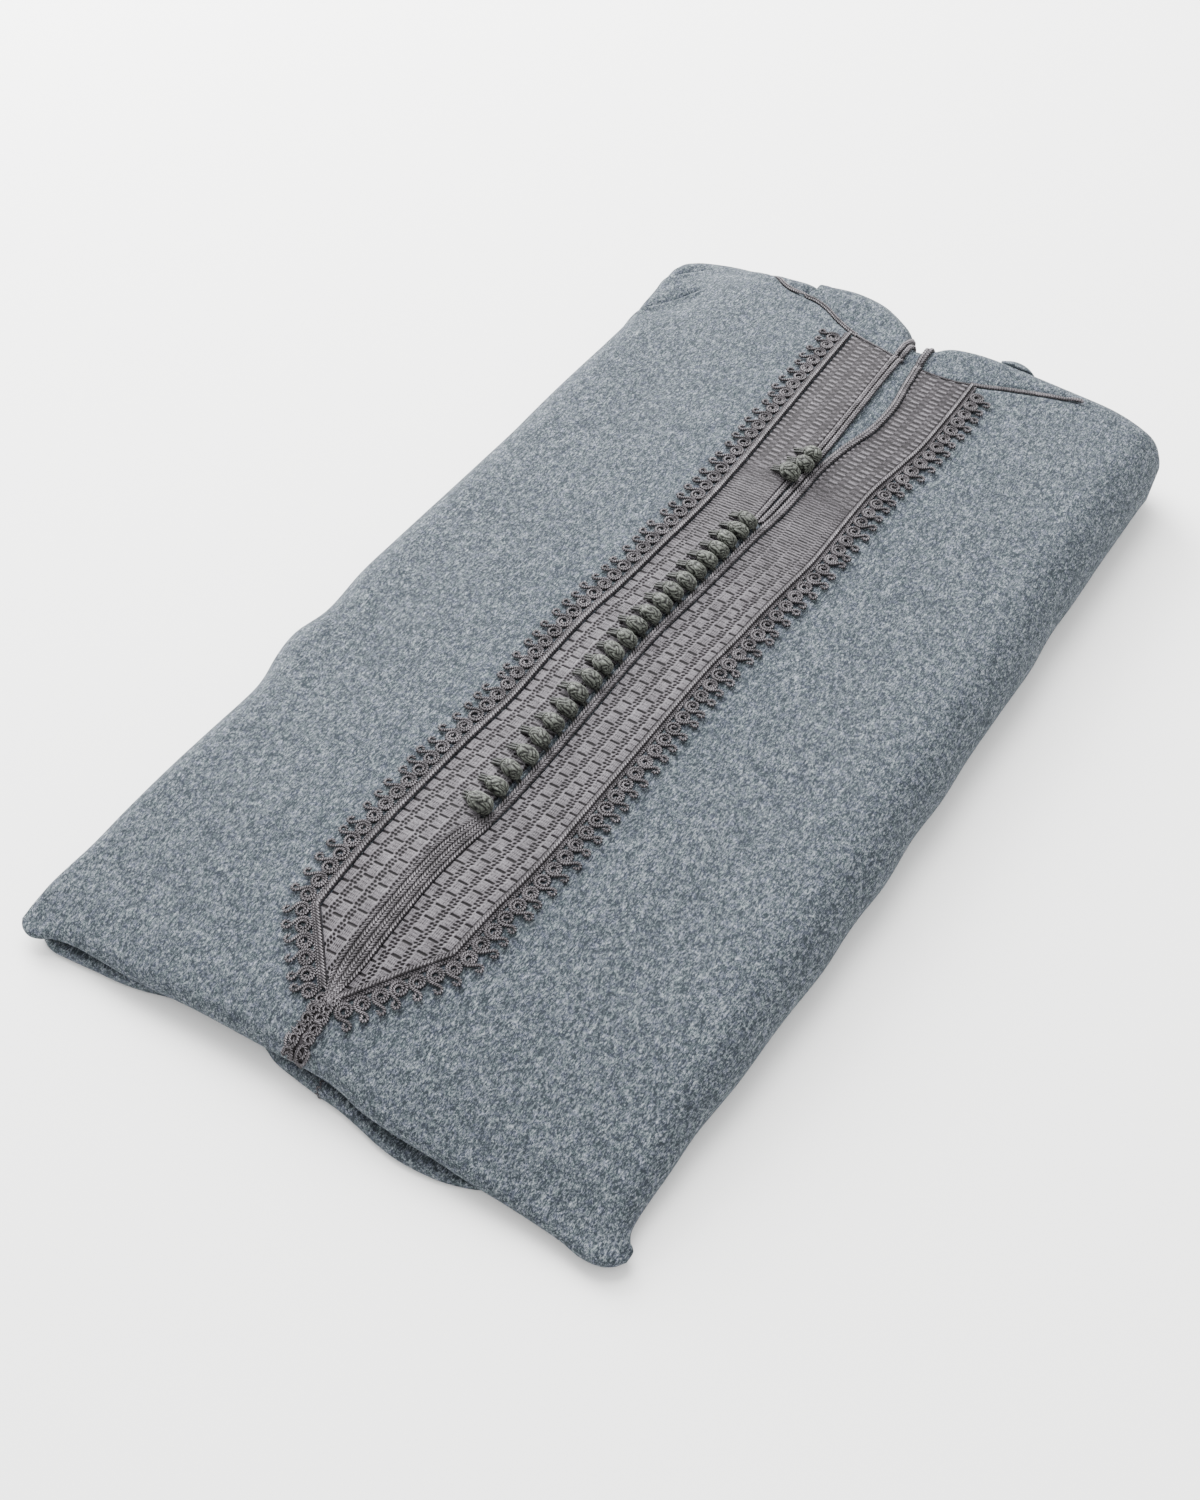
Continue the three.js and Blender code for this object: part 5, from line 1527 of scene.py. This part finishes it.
def placed(name, data, place, rotation):
    """An object of the stage in the scene: a light or the camera."""
    thing = bpy.data.objects.new(name, data)
    thing.location = place
    thing.rotation_euler = rotation
    bpy.context.scene.collection.objects.link(thing)
    return thing


def area_light(name, place, size, power):
    """A square soft light that faces the middle of the floor."""
    data = bpy.data.lights.new(name, "AREA")
    data.shape = "SQUARE"
    data.size = size
    data.energy = power
    direction = -np.array(place)
    yaw = math.atan2(direction[1], direction[0])
    pitch = math.atan2(-direction[2], math.hypot(direction[0], direction[1]))
    placed(name, data, place, (math.pi / 2 - pitch, 0, yaw - math.pi / 2))


def build_stage():
    """Pale board for a floor, a large soft light overhead, a lower one behind the left side and pale air."""
    stage = bpy.context.scene.djellaba_stage
    mesh = bpy.data.meshes.new("board")
    half = BOARD_HALF
    corners = [(-half, -half, 0), (half, -half, 0), (half, half, 0), (-half, half, 0)]
    mesh.from_pydata(corners, [], [(0, 1, 2, 3)])
    mesh.materials.append(bpy.data.materials["painted board"])
    floor = bpy.data.objects.new("board", mesh)
    bpy.context.scene.collection.objects.link(floor)
    area_light("overhead", (-0.7, 0.75, 1.9), 1.6, stage.overhead)
    area_light("window", (-1.7, 1.0, 0.95), 1.5, stage.window)
    world = bpy.data.worlds.new("studio air")
    world.use_nodes = True
    air = world.node_tree.nodes["Background"]
    air.inputs["Color"].default_value = linear("#FFFFFF")
    air.inputs["Strength"].default_value = stage.air
    bpy.context.scene.world = world
    data = bpy.data.cameras.new("camera")
    data.lens = LENS
    data.sensor_width = SENSOR
    azimuth, elevation = math.radians(CAMERA_AZIMUTH), math.radians(CAMERA_ELEVATION)
    flat, up = CAMERA_DISTANCE * math.cos(elevation), CAMERA_DISTANCE * math.sin(elevation)
    place = np.array(CAMERA_TARGET) + [flat * math.sin(azimuth), -flat * math.cos(azimuth), up]
    camera = placed("camera", data, place, (math.pi / 2 - elevation, 0, azimuth))
    bpy.context.scene.camera = camera


# ---- what a user can change ------------------------------------------------------------------------


class DjellabaSizes(bpy.types.PropertyGroup):
    """Sizes of the cloth."""

    wool: bpy.props.FloatProperty(
        name="Wool", description="Thickness of the wool cloth", default=2.3 * MM, unit="LENGTH"
    )


class DjellabaColours(bpy.types.PropertyGroup):
    """Colours of the cloth, the trims and the floor."""

    wool: bpy.props.FloatVectorProperty(
        name="Wool", description="Middle of the heather", size=4, subtype="COLOR", default=linear("#4E545A")
    )
    wool_dark: bpy.props.FloatVectorProperty(
        name="Dark flecks", description="Dyed fibres", size=4, subtype="COLOR", default=linear("#2C3136")
    )
    wool_light: bpy.props.FloatVectorProperty(
        name="Light flecks", description="Undyed fibres", size=4, subtype="COLOR", default=linear("#72787D")
    )
    galloon: bpy.props.FloatVectorProperty(
        name="Band", description="Floats of the weave", size=4, subtype="COLOR", default=linear("#5B585C")
    )
    # The ground's near-black is partly the ground threads and partly painted shade in the weave's gaps.
    ground: bpy.props.FloatVectorProperty(
        name="Ground", description="Gaps in the weave", size=4, subtype="COLOR", default=linear("#141214")
    )
    cord: bpy.props.FloatVectorProperty(
        name="Cords", description="Cords and plaits", size=4, subtype="COLOR", default=linear("#4A474A")
    )
    knot: bpy.props.FloatVectorProperty(
        name="Knots", description="Knotted buttons", size=4, subtype="COLOR", default=linear("#4F524C")
    )
    floor: bpy.props.FloatVectorProperty(
        name="Floor", description="Painted board", size=4, subtype="COLOR", default=linear("#F4F4F3")
    )


class DjellabaStage(bpy.types.PropertyGroup):
    """Lights."""

    overhead: bpy.props.FloatProperty(
        name="Overhead", description="Large soft light above", default=95.0, unit="POWER"
    )
    window: bpy.props.FloatProperty(
        name="Window", description="Lower light behind the left side", default=190.0, unit="POWER"
    )
    air: bpy.props.FloatProperty(name="Air", description="Light from all round", default=1.7)


class MaterialsOperator(bpy.types.Operator):
    """Makes the wool, the woven band, the cords, the knots and the board"""

    bl_idname = "djellaba.materials"
    bl_label = "Materials"

    def execute(self, context):
        make_materials()
        return {"FINISHED"}


class FrontsOperator(bpy.types.Operator):
    """Makes the left and right front"""

    bl_idname = "djellaba.fronts"
    bl_label = "Fronts"

    def execute(self, context):
        build_fronts()
        return {"FINISHED"}


class HoodOperator(bpy.types.Operator):
    """Makes the hood's lobes beyond the neck seam"""

    bl_idname = "djellaba.hood"
    bl_label = "Hood"

    def execute(self, context):
        build_hood()
        return {"FINISHED"}


class BackOperator(bpy.types.Operator):
    """Makes the inside of the back, seen in the slit"""

    bl_idname = "djellaba.back"
    bl_label = "Inside of the back"

    def execute(self, context):
        build_back()
        return {"FINISHED"}


class LayersOperator(bpy.types.Operator):
    """Makes the hidden folded layers"""

    bl_idname = "djellaba.layers"
    bl_label = "Folded layers"

    def execute(self, context):
        build_layers()
        return {"FINISHED"}


class SleeveOperator(bpy.types.Operator):
    """Makes the sleeve's fold and the shoulder at the far left corner"""

    bl_idname = "djellaba.sleeve"
    bl_label = "Sleeve and shoulder"

    def execute(self, context):
        build_sleeve()
        return {"FINISHED"}


class LowerSkirtOperator(bpy.types.Operator):
    """Makes the skirt's lower fold"""

    bl_idname = "djellaba.lower_skirt"
    bl_label = "Lower skirt"

    def execute(self, context):
        build_lower_skirt()
        return {"FINISHED"}


class GalloonsOperator(bpy.types.Operator):
    """Makes the two woven bands"""

    bl_idname = "djellaba.galloons"
    bl_label = "Woven bands"

    def execute(self, context):
        build_galloons()
        return {"FINISHED"}


class OuterCordsOperator(bpy.types.Operator):
    """Makes the cords along the outer edges of the bands"""

    bl_idname = "djellaba.outer_cords"
    bl_label = "Outer cords"

    def execute(self, context):
        build_outer_cords()
        return {"FINISHED"}


class ScrollsOperator(bpy.types.Operator):
    """Makes the scroll trims"""

    bl_idname = "djellaba.scrolls"
    bl_label = "Scroll trims"

    def execute(self, context):
        build_scrolls()
        return {"FINISHED"}


class SlitCordsOperator(bpy.types.Operator):
    """Makes the cords along the slit"""

    bl_idname = "djellaba.slit_cords"
    bl_label = "Slit cords"

    def execute(self, context):
        build_slit_cords()
        return {"FINISHED"}


class CentreBraidOperator(bpy.types.Operator):
    """Makes the plaits between the bands"""

    bl_idname = "djellaba.centre_braid"
    bl_label = "Centre braid"

    def execute(self, context):
        build_centre_braid()
        return {"FINISHED"}


class NeckBraidsOperator(bpy.types.Operator):
    """Makes the braids over the neck seam"""

    bl_idname = "djellaba.neck_braids"
    bl_label = "Neck braids"

    def execute(self, context):
        build_neck_braids()
        return {"FINISHED"}


class CentreBandOperator(bpy.types.Operator):
    """Makes the curled cords from the point over the fold"""

    bl_idname = "djellaba.centre_band"
    bl_label = "Centre band"

    def execute(self, context):
        build_centre_band()
        return {"FINISHED"}


class ButtonsOperator(bpy.types.Operator):
    """Makes the knotted buttons and their loops"""

    bl_idname = "djellaba.buttons"
    bl_label = "Buttons"

    def execute(self, context):
        build_buttons()
        return {"FINISHED"}


class StageOperator(bpy.types.Operator):
    """Makes the floor, the lights and the camera"""

    bl_idname = "djellaba.stage"
    bl_label = "Stage"

    def execute(self, context):
        build_stage()
        return {"FINISHED"}


OPERATORS = [
    MaterialsOperator,
    FrontsOperator,
    HoodOperator,
    BackOperator,
    LayersOperator,
    SleeveOperator,
    LowerSkirtOperator,
    GalloonsOperator,
    OuterCordsOperator,
    ScrollsOperator,
    SlitCordsOperator,
    CentreBraidOperator,
    NeckBraidsOperator,
    CentreBandOperator,
    ButtonsOperator,
    StageOperator,
]


class DjellabaPanel(bpy.types.Panel):
    """Lists the sizes, the colours and what each button makes"""

    bl_idname = "VIEW3D_PT_djellaba"
    bl_label = "Djellaba"
    bl_space_type = "VIEW_3D"
    bl_region_type = "UI"
    bl_category = "Djellaba"

    def draw(self, context):
        scene = context.scene
        for group in (scene.djellaba_sizes, scene.djellaba_colours, scene.djellaba_stage):
            for name in group.__annotations__:
                self.layout.prop(group, name)
        for operator in OPERATORS:
            self.layout.operator(operator.bl_idname)


PROPERTIES = {
    "djellaba_sizes": DjellabaSizes,
    "djellaba_colours": DjellabaColours,
    "djellaba_stage": DjellabaStage,
}


def register():
    """Adds the properties, the operators and the panel to Blender."""
    for kind in [*PROPERTIES.values(), *OPERATORS, DjellabaPanel]:
        bpy.utils.register_class(kind)
    for name, kind in PROPERTIES.items():
        setattr(bpy.types.Scene, name, bpy.props.PointerProperty(type=kind))


def unregister():
    """Takes them out again, the last first."""
    for name in PROPERTIES:
        delattr(bpy.types.Scene, name)
    for kind in reversed([*PROPERTIES.values(), *OPERATORS, DjellabaPanel]):
        bpy.utils.unregister_class(kind)


def main():
    """Makes every piece and the stage with the operators, in order."""
    register()
    for operator in OPERATORS:
        group, name = operator.bl_idname.split(".")
        getattr(getattr(bpy.ops, group), name)()


if __name__ == "__main__":
    main()
